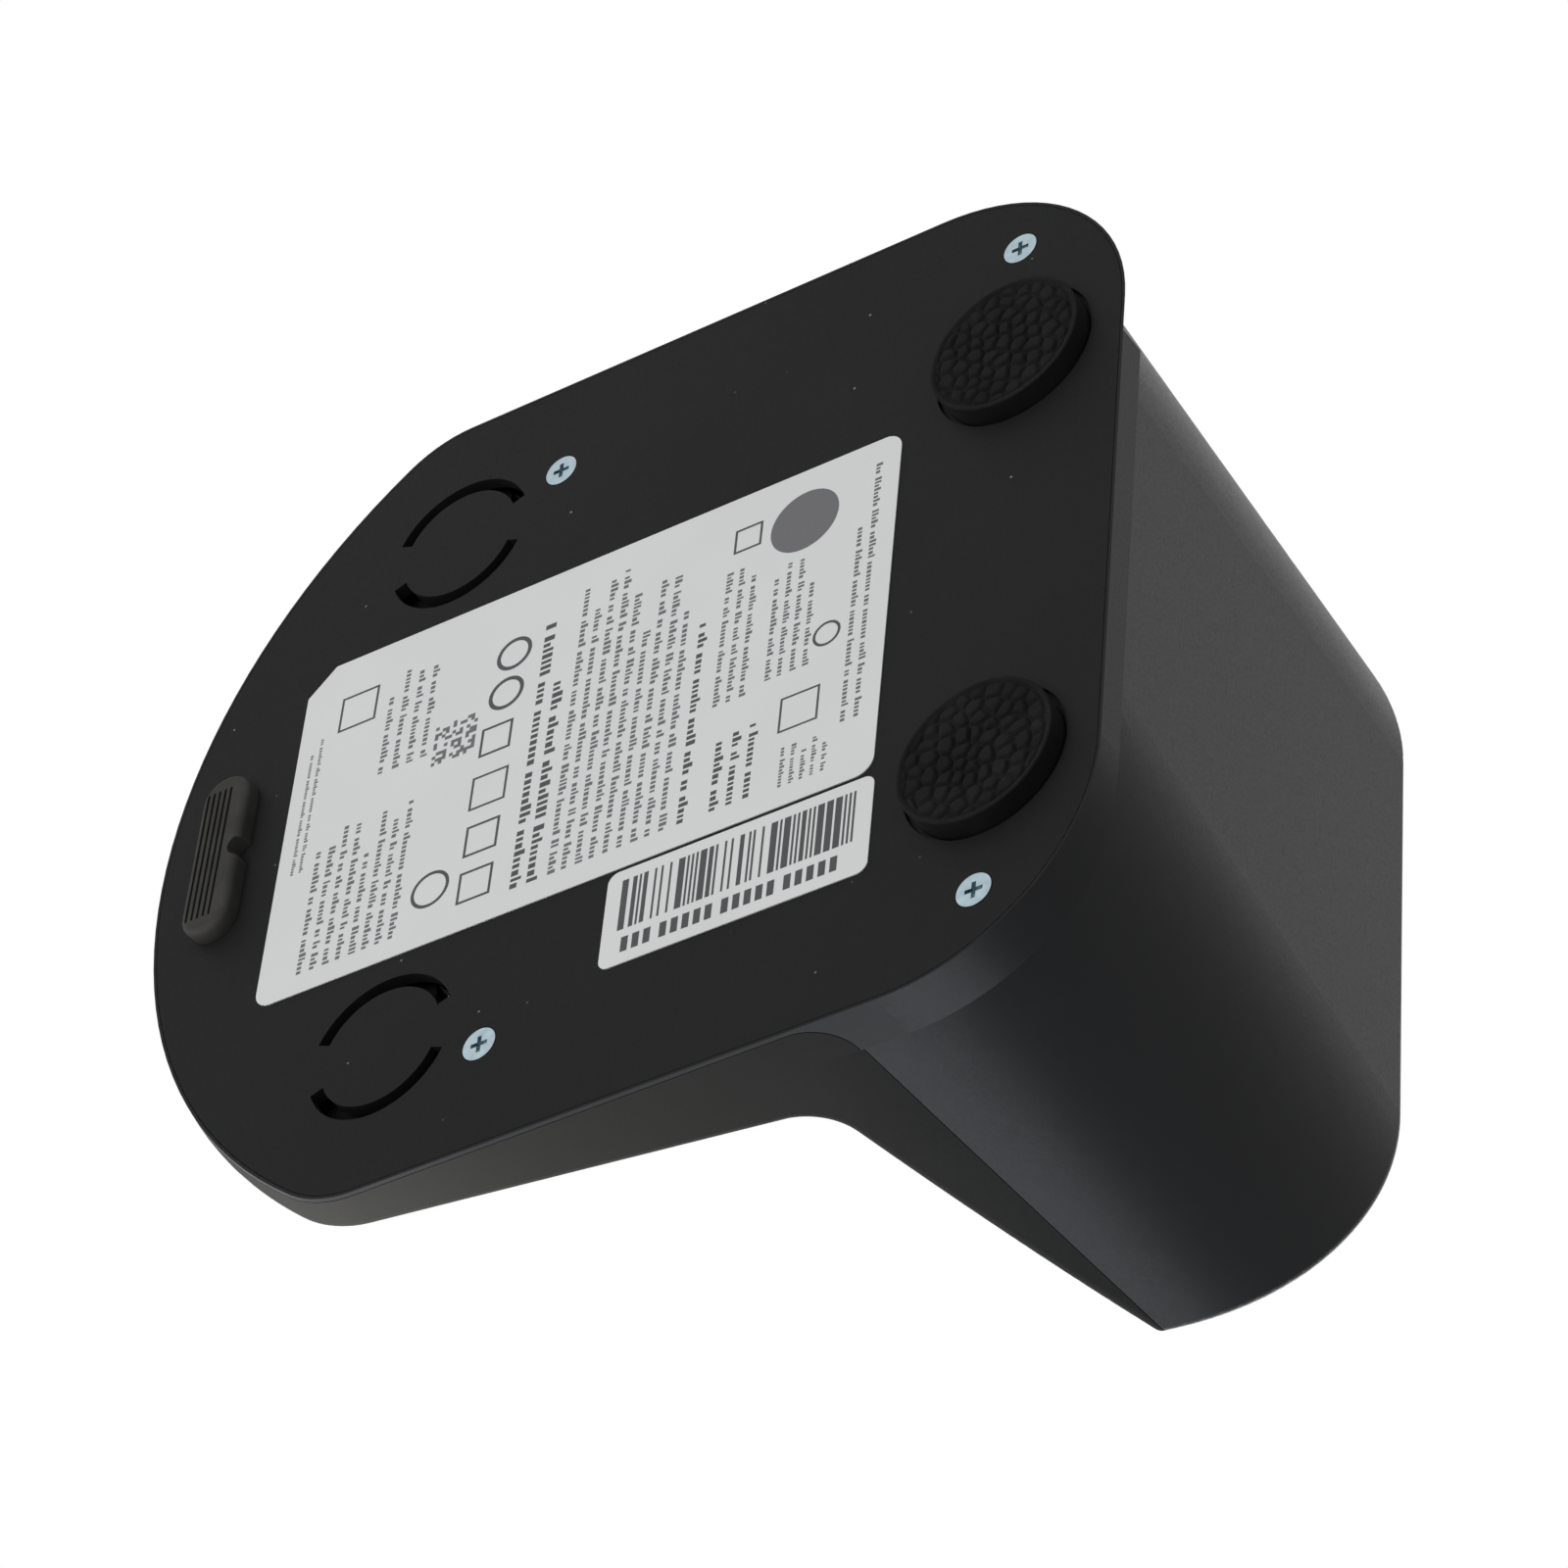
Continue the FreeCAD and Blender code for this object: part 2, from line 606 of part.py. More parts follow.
def bottom_cover():
    cover = base_prism(COVER_INSET, PLATE, COVER_TOP)
    cuts = []
    rear, front = screw_places()
    for place in rear + front:
        cuts.append(placed(head_cone(HOLE_GAP), place))
        cuts.append(Part.makeCylinder(SCREW_DIAMETER / 2 + HOLE_GAP, COVER_THICKNESS, place))
    for side in SIDES.values():
        recess = REAR_FOOT_DIAMETER / 2 + FOOT_RECESS_GAP
        cuts.append(Part.makeCylinder(recess, FOOT_RECESS, rear_foot_place(side) + UP * PLATE))
        cuts += ring_slot(side)
    return cover.cut(group(cuts)).cut(corner_relief())


def cover_screw(place):
    screw = joined(head_cone(0.0), Part.makeCylinder(SCREW_DIAMETER / 2, SCREW_LENGTH))
    blade = centred_box(SCREW_CROSS, SCREW_CROSS_WIDTH, 2 * SCREW_CROSS_DEPTH, vec(0, 0))
    cross = joined(blade, placed(blade, vec(0, 0), UP, 90))
    return placed(screw.cut(cross), place)


def rear_foot(side):
    height = FOOT_HEIGHT + FOOT_RECESS
    foot = Part.makeCylinder(REAR_FOOT_DIAMETER / 2, height)
    rim = [edge for edge in foot.Edges if edge.BoundBox.ZMax < TINY]
    return placed(foot.makeFillet(REAR_FOOT_BEVEL, rim), rear_foot_place(side))


def front_foot():
    foot = rounded_plate(FRONT_FOOT_LENGTH, FRONT_FOOT_WIDTH, FOOT_HEIGHT, FRONT_FOOT_WIDTH / 2 - TINY)
    foot = foot.makeFillet(FRONT_FOOT_BEVEL, [edge for edge in foot.Edges if edge.BoundBox.ZMax < TINY])
    cuts = [Part.makeCylinder(FRONT_FOOT_NOTCH, FOOT_HEIGHT, vec(0, FRONT_FOOT_WIDTH / 2))]
    for index in range(FRONT_FOOT_RIBS):
        y = (index - (FRONT_FOOT_RIBS - 1) / 2) * RIB_PITCH - FRONT_FOOT_NOTCH / 2
        cuts.append(centred_box(RIB_LENGTH, RIB_GROOVE, 2 * RIB_DEPTH, vec(0, y)))
    return placed(foot.cut(group(cuts)), vec(0, FRONT_EDGE + FRONT_FOOT_FROM_FRONT))


def rating_label():
    label = rounded_plate(LABEL_WIDTH, LABEL_DEPTH, LABEL_THICKNESS, LABEL_ROUND)
    corner = vec(LABEL_WIDTH / 2, -LABEL_DEPTH / 2)
    clip = closed_face([corner, corner - RIGHT * LABEL_CHAMFER, corner - FORWARD * LABEL_CHAMFER])
    label = label.cut(clip.extrude(UP * LABEL_THICKNESS))
    return placed(label, vec(0, REAR_EDGE - LABEL_FROM_REAR - LABEL_DEPTH / 2, PLATE - LABEL_THICKNESS))


def barcode_label():
    label = rounded_plate(BARCODE_WIDTH, BARCODE_DEPTH, LABEL_THICKNESS, BARCODE_ROUND)
    x = -LABEL_WIDTH / 2 - BARCODE_FROM_LABEL - BARCODE_WIDTH / 2
    return placed(label, vec(x, REAR_EDGE - BARCODE_FROM_REAR - BARCODE_DEPTH / 2, PLATE - LABEL_THICKNESS))


def contact_base():
    """Height of a contact's underside: its ears clear the ramp's inner face at their lower edge."""
    inner = ramp_height(CONTACT_Y - CONTACT_EAR_WIDTH / 2, WALL)
    return inner - CONTACT_STOP_GAP - CONTACT_EAR_HEIGHT


def charging_contact(side):
    """Plated pad that stands out of the ramp, parallel to it, with two ears that stop it from below."""
    base = contact_base()
    pad = rounded_plate(CONTACT_LENGTH, CONTACT_WIDTH, REACH, CONTACT_ROUND)
    pad.translate(contact_place(side) + UP * base)
    rear = CONTACT_Y + REACH
    front = CONTACT_Y - REACH
    crest = across(profile_edges([
        vec(0, front, base - REACH), vec(0, rear, base - REACH),
        vec(0, rear, ramp_height(rear) + CONTACT_PROUD), vec(0, front, ramp_height(front) + CONTACT_PROUD),
        vec(0, front, base - REACH)]))
    pad = pad.common(crest)
    lowest_crest = ramp_height(CONTACT_Y - CONTACT_WIDTH / 2)
    brim = [edge for edge in pad.Edges if edge.BoundBox.ZMin > lowest_crest]
    pad = pad.makeFillet(CONTACT_CROWN, brim)
    ears = centred_box(CONTACT_LENGTH + 2 * CONTACT_EAR, CONTACT_EAR_WIDTH, CONTACT_EAR_HEIGHT,
                       contact_place(side) + UP * (base + CONTACT_EAR_HEIGHT / 2))
    return joined(pad, ears)


def contact_spring(side):
    """Bowed leaf that stands on the cover inside the ring slots and carries the contact."""
    rise = contact_base() - SPRING_GAP - COVER_TOP
    half = SPRING_SPAN / 2
    outer = arc(vec(0, -half), vec(0, 0, rise), vec(0, half))
    inner = arc(vec(0, half - SPRING_SHEET), vec(0, 0, rise - SPRING_SHEET), vec(0, SPRING_SHEET - half))
    ends = [Part.makeLine(vec(0, half), vec(0, half - SPRING_SHEET)),
            Part.makeLine(vec(0, SPRING_SHEET - half), vec(0, -half))]
    strip = Part.Face(Part.Wire([outer, ends[0], inner, ends[1]])).extrude(vec(SPRING_WIDTH, 0))
    return placed(strip, contact_place(side) + vec(-SPRING_WIDTH / 2, 0, COVER_TOP))


def ir_window():
    pane = rounded_plate(WINDOW_WIDTH, WINDOW_HEIGHT, WALL, WINDOW_ROUND)
    flange = rounded_plate(WINDOW_WIDTH + 2 * WINDOW_FLANGE, WINDOW_HEIGHT + 2 * WINDOW_FLANGE,
                           WINDOW_FLANGE_THICKNESS, WINDOW_ROUND)
    return joined(on_tower_face(pane, WINDOW_UP, WALL),
                  on_tower_face(flange, WINDOW_UP, WALL + WINDOW_FLANGE_THICKNESS))


def status_light():
    pipe = Part.makeCylinder(LIGHT_DIAMETER / 2, IR_BOARD_SETBACK)
    return on_tower_face(pipe, LIGHT_UP, IR_BOARD_SETBACK)


def ir_board():
    board = centred_box(IR_BOARD_WIDTH, IR_BOARD_HEIGHT, BOARD_THICKNESS, vec(0, 0, BOARD_THICKNESS / 2))
    holes = [Part.makeCylinder(BOARD_SCREW_DIAMETER / 2 + HOLE_GAP, BOARD_THICKNESS, offset)
             for offset in ir_boss_offsets()]
    return on_tower_face(board.cut(group(holes)), IR_BOARD_UP, IR_BOARD_SETBACK + BOARD_THICKNESS)


def ir_emitters():
    """Round emitters that stand on the board and look out through the window."""
    emitters = []
    for index in range(EMITTER_COUNT):
        x = (index - (EMITTER_COUNT - 1) / 2) * EMITTER_PITCH
        straight = EMITTER_LENGTH - EMITTER_DIAMETER / 2
        lamp = joined(Part.makeCylinder(EMITTER_DIAMETER / 2, straight, vec(x, 0)),
                      Part.makeSphere(EMITTER_DIAMETER / 2, vec(x, 0, straight)))
        keep = centred_box(EMITTER_DIAMETER, EMITTER_DIAMETER, EMITTER_LENGTH, vec(x, 0, EMITTER_LENGTH / 2))
        rise = vec(0, along_face(WINDOW_UP - IR_BOARD_UP))
        lamp = lamp.common(keep)
        lamp.translate(rise)
        emitters.append(on_tower_face(lamp, IR_BOARD_UP, IR_BOARD_SETBACK))
    return group(emitters)


def board_screw():
    """Pan-head screw along +Z with the underside of its head at the origin."""
    head = Part.makeCylinder(BOARD_SCREW_HEAD / 2, BOARD_SCREW_HEAD_HEIGHT,
                             vec(0, 0, -BOARD_SCREW_HEAD_HEIGHT))
    rim = [edge for edge in head.Edges if edge.BoundBox.ZMax < TINY - BOARD_SCREW_HEAD_HEIGHT]
    head = head.makeFillet(BOARD_SCREW_HEAD_HEIGHT / 2, rim)
    return joined(head, Part.makeCylinder(BOARD_SCREW_DIAMETER / 2, BOARD_SCREW_LENGTH))


def ir_board_screws():
    screws = []
    for offset in ir_boss_offsets():
        screw = board_screw()
        screw.translate(offset)
        screws.append(on_tower_face(screw, IR_BOARD_UP, IR_BOARD_SETBACK + BOARD_THICKNESS))
    return group(screws)


def power_board_screws():
    return group([placed(board_screw(), place, RIGHT, -90) for place in board_boss_places()])


def power_board():
    board = centred_box(BOARD_WIDTH, BOARD_THICKNESS, BOARD_HEIGHT,
                        vec(0, BOARD_FRONT + BOARD_THICKNESS / 2, BOARD_LOW + BOARD_HEIGHT / 2))
    holes = [Part.makeCylinder(BOARD_SCREW_DIAMETER / 2 + HOLE_GAP, BOARD_THICKNESS, place, -FORWARD)
             for place in board_boss_places()]
    return board.cut(group(holes))


def on_board(x, up):
    return vec(x, BOARD_FRONT, BOARD_LOW + up)


def board_block(width, depth, height, place):
    return Part.makeBox(width, depth, height, place - vec(width / 2, depth, height / 2))


def transformer():
    """Ferrite frame round a wound bobbin, standing on the power board."""
    place = on_board(TRANSFORMER_X, TRANSFORMER_UP)
    frame = board_block(TRANSFORMER_WIDTH, TRANSFORMER_DEPTH, TRANSFORMER_BAND, place)
    bobbin = board_block(TRANSFORMER_BOBBIN, TRANSFORMER_DEPTH, TRANSFORMER_HEIGHT, place)
    return joined(frame, bobbin)


def capacitor(diameter, length):
    can = Part.makeCylinder(diameter / 2, length)
    rims = [edge for edge in can.Edges if edge.BoundBox.ZLength < TINY]
    return can.makeFillet(CAPACITOR_ROUND, rims)


def bulk_capacitor():
    foot = on_board(BULK_CAPACITOR_X, BULK_CAPACITOR_UP) + FORWARD * (BULK_CAPACITOR_DIAMETER / 2)
    return placed(capacitor(BULK_CAPACITOR_DIAMETER, BULK_CAPACITOR_LENGTH), foot)


def output_capacitors():
    cans = []
    for index in range(OUTPUT_CAPACITOR_COUNT):
        x = OUTPUT_CAPACITOR_FROM_SIDE + index * OUTPUT_CAPACITOR_PITCH - BOARD_WIDTH / 2
        can = capacitor(OUTPUT_CAPACITOR_DIAMETER, OUTPUT_CAPACITOR_LENGTH)
        cans.append(placed(can, on_board(x, OUTPUT_CAPACITOR_UP), RIGHT, 90))
    return group(cans)


def line_choke():
    place = on_board(BOARD_WIDTH / 2 - CHOKE_FROM_SIDE, CHOKE_UP) + FORWARD * CHOKE_WIRE
    return Part.makeTorus(CHOKE_RING, CHOKE_WIRE, place, FORWARD)


def mains_fuse():
    """Upright glass tube between two end caps that touch the board."""
    middle = on_board(BOARD_WIDTH / 2 - FUSE_FROM_SIDE, FUSE_UP) + FORWARD * (FUSE_DIAMETER / 2)
    start = middle - UP * (FUSE_LENGTH / 2)
    caps = [Part.makeCylinder(FUSE_DIAMETER / 2, FUSE_CAP, start),
            Part.makeCylinder(FUSE_DIAMETER / 2, FUSE_CAP, start + UP * (FUSE_LENGTH - FUSE_CAP))]
    return joined(Part.makeCylinder(FUSE_GLASS / 2, FUSE_LENGTH, start), *caps)


def heat_sink():
    """Plate on the board with upright fins."""
    place = on_board(HEAT_SINK_FROM_SIDE - BOARD_WIDTH / 2, HEAT_SINK_UP)
    plate = board_block(HEAT_SINK_WIDTH, HEAT_SINK_PLATE, HEAT_SINK_HEIGHT, place)
    pitch = (HEAT_SINK_WIDTH - HEAT_SINK_FIN) / (HEAT_SINK_FINS - 1)
    fins = []
    for index in range(HEAT_SINK_FINS):
        x = (index - (HEAT_SINK_FINS - 1) / 2) * pitch
        fins.append(board_block(HEAT_SINK_FIN, HEAT_SINK_DEPTH, HEAT_SINK_HEIGHT, place + RIGHT * x))
    return joined(plate, *fins)


def output_plug():
    return board_block(PLUG_WIDTH, PLUG_DEPTH, PLUG_HEIGHT, on_board(PLUG_X, PLUG_UP))


def pin_places():
    return [vec(INLET_FACE - INLET_WELL_DEPTH, INLET_Y + side * PIN_PITCH / 2, INLET_Z)
            for side in SIDES.values()]


def mains_inlet():
    """Two-pin inlet: a shroud with a flange behind the pocket floor and a well in the shape of an eight."""
    shroud = rounded_plate(INLET_HEIGHT, INLET_WIDTH, INLET_LENGTH, INLET_HEIGHT / 2 - TINY)
    shroud = placed(shroud, vec(INLET_FACE - INLET_LENGTH, INLET_Y, INLET_Z), vec(0, 1), 90)
    flange = centred_box(INLET_FLANGE_THICKNESS, INLET_WIDTH + 2 * INLET_FLANGE,
                         INLET_HEIGHT + 2 * INLET_FLANGE,
                         vec(INLET_FACE - WALL - INLET_FLANGE_THICKNESS / 2, INLET_Y, INLET_Z))
    well = [Part.makeCylinder(INLET_WELL_DIAMETER / 2, INLET_WELL_DEPTH, place, RIGHT)
            for place in pin_places()]
    well.append(centred_box(INLET_WELL_DEPTH, PIN_PITCH, INLET_WAIST,
                            vec(INLET_FACE - INLET_WELL_DEPTH / 2, INLET_Y, INLET_Z)))
    holes = [Part.makeCylinder(PIN_DIAMETER / 2, INLET_LENGTH, place, -RIGHT) for place in pin_places()]
    return joined(shroud, flange).cut(group(well)).cut(group(holes))


def pin_tail():
    return INLET_LENGTH - INLET_WELL_DEPTH + PIN_TAIL


def inlet_pins():
    pins = []
    for place in pin_places():
        tip = Part.makeCylinder(PIN_DIAMETER / 2, PIN_LENGTH + pin_tail(), place - RIGHT * pin_tail(), RIGHT)
        rim = [edge for edge in tip.Edges if edge.BoundBox.XMin > place.x + PIN_LENGTH - TINY]
        pins.append(tip.makeChamfer(PIN_DIAMETER / 4, rim))
    return group(pins)


def mains_leads():
    """Two short leads from the inlet's pins to the power board."""
    leads = []
    for place in pin_places():
        start = place - RIGHT * pin_tail()
        bend = start - RIGHT * (MAINS_LEAD_REACH + (place.y - INLET_Y + PIN_PITCH / 2) / 2)
        leads.append(tube([start, bend, vec(bend.x, BOARD_FRONT, bend.z)], LEAD_DIAMETER))
    return group(leads)


def contact_lead(side):
    """Lead from the output plug down to the cover and over a slot's bridge to the contact's spring."""
    x = side * LEAD_X
    plug_x = PLUG_X + side * PLUG_LEAD_PITCH / 2
    plug_y = BOARD_FRONT - PLUG_DEPTH / 2
    plug_foot = BOARD_LOW + PLUG_UP - PLUG_HEIGHT / 2
    turn_y = FRONT_EDGE + LEAD_TURN_FROM_FRONT
    over_bridge = contact_place(side).x
    spring_foot = CONTACT_Y + SPRING_SPAN / 2 + SPRING_GAP
    return tube([vec(plug_x, plug_y, plug_foot), vec(plug_x, plug_y, plug_foot - LEAD_DROP),
                 vec(x, plug_y, LEAD_Z), vec(x, turn_y, LEAD_Z), vec(over_bridge, turn_y, LEAD_Z),
                 vec(over_bridge, spring_foot, LEAD_Z)], LEAD_DIAMETER)


def build():
    form = outer_form()
    shell = form.cut(body_form(WALL, PLATE - REACH))
    rear_region, front_region = parting_regions()
    rear_screws, front_screws = screw_places()
    parts = {
        "rear_housing": rear_housing(form, shell, rear_region),
        "front_cover": front_cover(form, shell, front_region),
        "bottom_cover": bottom_cover(),
        "cover_screws": group([cover_screw(place) for place in rear_screws + front_screws]),
        "front_foot": front_foot(),
        "rating_label": rating_label(),
        "barcode_label": barcode_label(),
        "ir_window": ir_window(),
        "status_light": status_light(),
        "ir_board": ir_board(),
        "ir_emitters": ir_emitters(),
        "ir_board_screws": ir_board_screws(),
        "power_board": power_board(),
        "power_board_screws": power_board_screws(),
        "transformer": transformer(),
        "bulk_capacitor": bulk_capacitor(),
        "output_capacitors": output_capacitors(),
        "line_choke": line_choke(),
        "mains_fuse": mains_fuse(),
        "heat_sink": heat_sink(),
        "output_plug": output_plug(),
        "mains_inlet": mains_inlet(),
        "inlet_pins": inlet_pins(),
        "mains_leads": mains_leads(),
    }
    for name, side in SIDES.items():
        parts["rear_foot_" + name] = rear_foot(side)
        parts["charging_contact_" + name] = charging_contact(side)
        parts["contact_spring_" + name] = contact_spring(side)
        parts["contact_lead_" + name] = contact_lead(side)
    return parts


os.makedirs("parts", exist_ok=True)
for node, shape in build().items():
    shape.exportStep(os.path.join("parts", node + ".step"))
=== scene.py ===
import json
import math
import random

import bpy
import numpy as np
from bpy.props import FloatProperty, FloatVectorProperty, IntProperty, PointerProperty
from bpy.types import Operator, Panel, PropertyGroup
from mathutils import Euler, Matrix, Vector

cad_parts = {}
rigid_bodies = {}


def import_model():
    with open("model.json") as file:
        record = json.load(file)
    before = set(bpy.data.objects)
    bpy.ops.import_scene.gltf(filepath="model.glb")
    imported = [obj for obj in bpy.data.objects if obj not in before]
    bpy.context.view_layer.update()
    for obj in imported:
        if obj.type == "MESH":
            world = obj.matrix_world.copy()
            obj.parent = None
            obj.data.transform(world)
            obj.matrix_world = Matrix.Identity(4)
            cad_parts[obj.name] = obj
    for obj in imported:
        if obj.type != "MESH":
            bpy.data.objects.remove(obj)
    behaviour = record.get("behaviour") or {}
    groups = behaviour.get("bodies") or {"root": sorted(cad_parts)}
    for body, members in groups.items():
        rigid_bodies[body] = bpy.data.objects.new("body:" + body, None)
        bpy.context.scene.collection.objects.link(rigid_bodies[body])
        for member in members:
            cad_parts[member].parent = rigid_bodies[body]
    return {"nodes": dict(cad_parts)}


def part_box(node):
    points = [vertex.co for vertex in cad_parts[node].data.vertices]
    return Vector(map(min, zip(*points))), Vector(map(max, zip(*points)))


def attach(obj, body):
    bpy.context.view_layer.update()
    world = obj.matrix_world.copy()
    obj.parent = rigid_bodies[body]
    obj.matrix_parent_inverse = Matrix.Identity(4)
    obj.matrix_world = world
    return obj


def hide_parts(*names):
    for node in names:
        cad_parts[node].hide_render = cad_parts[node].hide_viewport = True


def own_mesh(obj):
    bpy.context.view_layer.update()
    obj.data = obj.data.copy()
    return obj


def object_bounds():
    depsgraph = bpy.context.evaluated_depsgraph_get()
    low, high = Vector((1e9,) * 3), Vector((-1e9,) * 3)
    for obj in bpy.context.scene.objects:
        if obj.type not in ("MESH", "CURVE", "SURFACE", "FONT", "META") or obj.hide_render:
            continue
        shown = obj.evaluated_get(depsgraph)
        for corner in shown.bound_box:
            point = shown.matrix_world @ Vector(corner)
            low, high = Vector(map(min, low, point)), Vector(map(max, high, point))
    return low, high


bl_info = {
    "name": "Robot vacuum charging dock",
    "version": (1, 0, 0),
    "blender": (4, 5, 0),
    "location": "View3D > Sidebar > Dock",
    "description": "Finishes, pebbled soles, label print and studio of a charging dock",
    "category": "Object",
}

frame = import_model()
NODES = frame["nodes"]
CAD_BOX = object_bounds()
BODY = "dock"
MM = 0.001


def colour_prop(name, description, default):
    """Colour in scene-linear red, green and blue."""
    return FloatVectorProperty(name=name, description=description, subtype="COLOR", size=3,
                               min=0.0, max=1.0, default=default)


def length_prop(name, description, default):
    """Length in metres."""
    return FloatProperty(name=name, description=description, subtype="DISTANCE", unit="LENGTH",
                         precision=5, default=default)


class DockFinishes(PropertyGroup):
    """Colours of the moulded, plated and printed surfaces."""
    housing: colour_prop("Housing", "Moulded rear housing", (0.0088, 0.009, 0.0098))
    cover: colour_prop("Front cover", "Moulded ramp and tower front", (0.0118, 0.0116, 0.011))
    plate: colour_prop("Bottom plate", "Moulded bottom cover", (0.0138, 0.014, 0.0145))
    rear_sole: colour_prop("Rear soles", "Pebbled rubber of the rear feet", (0.016, 0.016, 0.0163))
    front_sole: colour_prop("Front sole", "Ribbed rubber of the front foot", (0.053, 0.052, 0.049))
    film: colour_prop("Label film", "White label stock", (0.84, 0.845, 0.85))
    ink: colour_prop("Label ink", "Dark print on the labels", (0.035, 0.036, 0.04))
    grey_ink: colour_prop("Small print", "Thin print and grey fields on the labels", (0.13, 0.13, 0.14))
    zinc: colour_prop("Zinc", "Blue zinc plating of the cover screws", (0.4, 0.5, 0.55))
    nickel: colour_prop("Nickel", "Plating of contacts and pins", (0.52, 0.5, 0.45))


class DockSizes(PropertyGroup):
    """Sizes of the details that the finishes add."""
    pebble: length_prop("Pebble", "Middle distance of two pebbles of a rear sole", 2.4 * MM)
    groove: length_prop("Groove", "Width of the groove between two pebbles", 0.85 * MM)
    groove_depth: length_prop("Groove depth", "Depth of that groove", 0.7 * MM)
    sole_rim: length_prop("Sole rim", "Plain rim of a rear sole", 0.5 * MM)
    cover_inset: length_prop("Cover inset", "Distance of the bottom cover's edge from the outline", 0.5 * MM)
    corner_round: length_prop("Corner round", "Radius of the outline's rear corners", 28.0 * MM)
    seal_tail: length_prop("Seal tail", "Straight ends of the corner seal", 4.5 * MM)
    contact_travel: length_prop("Contact travel", "How far a charging contact can be pressed", 1.0 * MM)
    ink_lift: length_prop("Ink lift", "Height of the print over the label film", 0.012 * MM)
    stripes: IntProperty(name="Stripes", description="Stripes in the small label's field", default=34, min=8)


class DockStudio(PropertyGroup):
    """Camera, lamps and floor."""
    camera_place: FloatVectorProperty(name="Camera place", description="Camera position in the dock's frame",
                                      subtype="TRANSLATION", unit="LENGTH", size=3,
                                      default=(-0.49202, 0.34140, -0.40844))
    camera_turn: FloatVectorProperty(name="Camera turn", description="Camera rotation", subtype="EULER",
                                     unit="ROTATION", size=3,
                                     default=tuple(math.radians(a) for a in (-134.884, -33.381, 84.779)))
    lens: FloatProperty(name="Lens", description="Focal length on a 36 mm wide sensor", unit="CAMERA",
                        default=136.66)
    floor: colour_prop("Floor", "Pale studio floor", (0.82, 0.82, 0.82))
    ambient: FloatProperty(name="Ambient", description="Strength of the even light from all sides",
                           default=0.25)


def new_material(name):
    """Material with one principled shader."""
    material = bpy.data.materials.new(name)
    material.use_nodes = True
    tree = material.node_tree
    tree.nodes.clear()
    output = tree.nodes.new("ShaderNodeOutputMaterial")
    shader = tree.nodes.new("ShaderNodeBsdfPrincipled")
    tree.links.new(shader.outputs["BSDF"], output.inputs["Surface"])
    return material, tree, shader


def noise(tree, scale, detail=3.0, stretch=(1.0, 1.0, 1.0)):
    """Noise in the dock's own frame, in repeats per metre."""
    place = tree.nodes.new("ShaderNodeTexCoord")
    mapping = tree.nodes.new("ShaderNodeMapping")
    mapping.inputs["Scale"].default_value = stretch
    texture = tree.nodes.new("ShaderNodeTexNoise")
    texture.inputs["Scale"].default_value = scale
    texture.inputs["Detail"].default_value = detail
    tree.links.new(place.outputs["Object"], mapping.inputs["Vector"])
    tree.links.new(mapping.outputs["Vector"], texture.inputs["Vector"])
    return texture.outputs["Fac"]


def ranged(tree, value, low, high, start=0.3, end=0.7):
    """Stretches the span from start to end onto the span from low to high."""
    node = tree.nodes.new("ShaderNodeMapRange")
    node.inputs["From Min"].default_value = start
    node.inputs["From Max"].default_value = end
    node.inputs["To Min"].default_value = low
    node.inputs["To Max"].default_value = high
    tree.links.new(value, node.inputs["Value"])
    return node.outputs["Result"]


def mixed(tree, factor, first, second):
    """Colour between two colours or sockets."""
    node = tree.nodes.new("ShaderNodeMix")
    node.data_type = "RGBA"
    tree.links.new(factor, node.inputs["Factor"])
    for socket, value in ((node.inputs[6], first), (node.inputs[7], second)):
        if isinstance(value, bpy.types.NodeSocket):
            tree.links.new(value, socket)
        else:
            socket.default_value = (*value, 1.0)
    return node.outputs[2]


def calculated(tree, operation, first, second, clamp=False):
    """Result of one sum with two numbers or sockets."""
    node = tree.nodes.new("ShaderNodeMath")
    node.operation = operation
    node.use_clamp = clamp
    for socket, value in zip(node.inputs, (first, second)):
        if isinstance(value, bpy.types.NodeSocket):
            tree.links.new(value, socket)
        else:
            socket.default_value = value
    return node.outputs[0]


def blended(tree, factor, first, second):
    """Surface between two shaders' outputs."""
    node = tree.nodes.new("ShaderNodeMixShader")
    for socket, value in zip(node.inputs, (factor, first, second)):
        tree.links.new(value, socket)
    return node.outputs[0]


def scaled(colour, factor):
    """Lighter or darker colour."""
    return tuple(min(1.0, c * factor) for c in colour)


def bumped(tree, shader, height, strength, distance):
    """Adds fine relief to a shader."""
    node = tree.nodes.new("ShaderNodeBump")
    node.inputs["Strength"].default_value = strength
    node.inputs["Distance"].default_value = distance
    tree.links.new(height, node.inputs["Height"])
    tree.links.new(node.outputs["Normal"], shader.inputs["Normal"])


# Moulded plastic: repeats of the eroded grain per metre, its relief, and the spread of the cloudy tone.
MOULD_GRAIN = 2600.0
MOULD_RELIEF = 0.25
MOULD_SPREAD = 0.10


def moulded_shader(name, colour, rough, specular=0.5, patch=28.0):
    """Moulded plastic with faint cloudy tone and eroded grain: material, tree, shader and tone."""
    material, tree, shader = new_material(name)
    cloud = noise(tree, patch, 4.0)
    fine = noise(tree, MOULD_GRAIN, 2.0)
    dark, pale = scaled(colour, 1 - MOULD_SPREAD), scaled(colour, 1 + MOULD_SPREAD)
    tone = mixed(tree, ranged(tree, cloud, 0.0, 1.0), dark, pale)
    tree.links.new(tone, shader.inputs["Base Color"])
    tree.links.new(ranged(tree, fine, rough - 0.05, rough + 0.05), shader.inputs["Roughness"])
    shader.inputs["Specular IOR Level"].default_value = specular
    bumped(tree, shader, fine, MOULD_RELIEF, 0.02 * MM)
    return material, tree, shader, tone


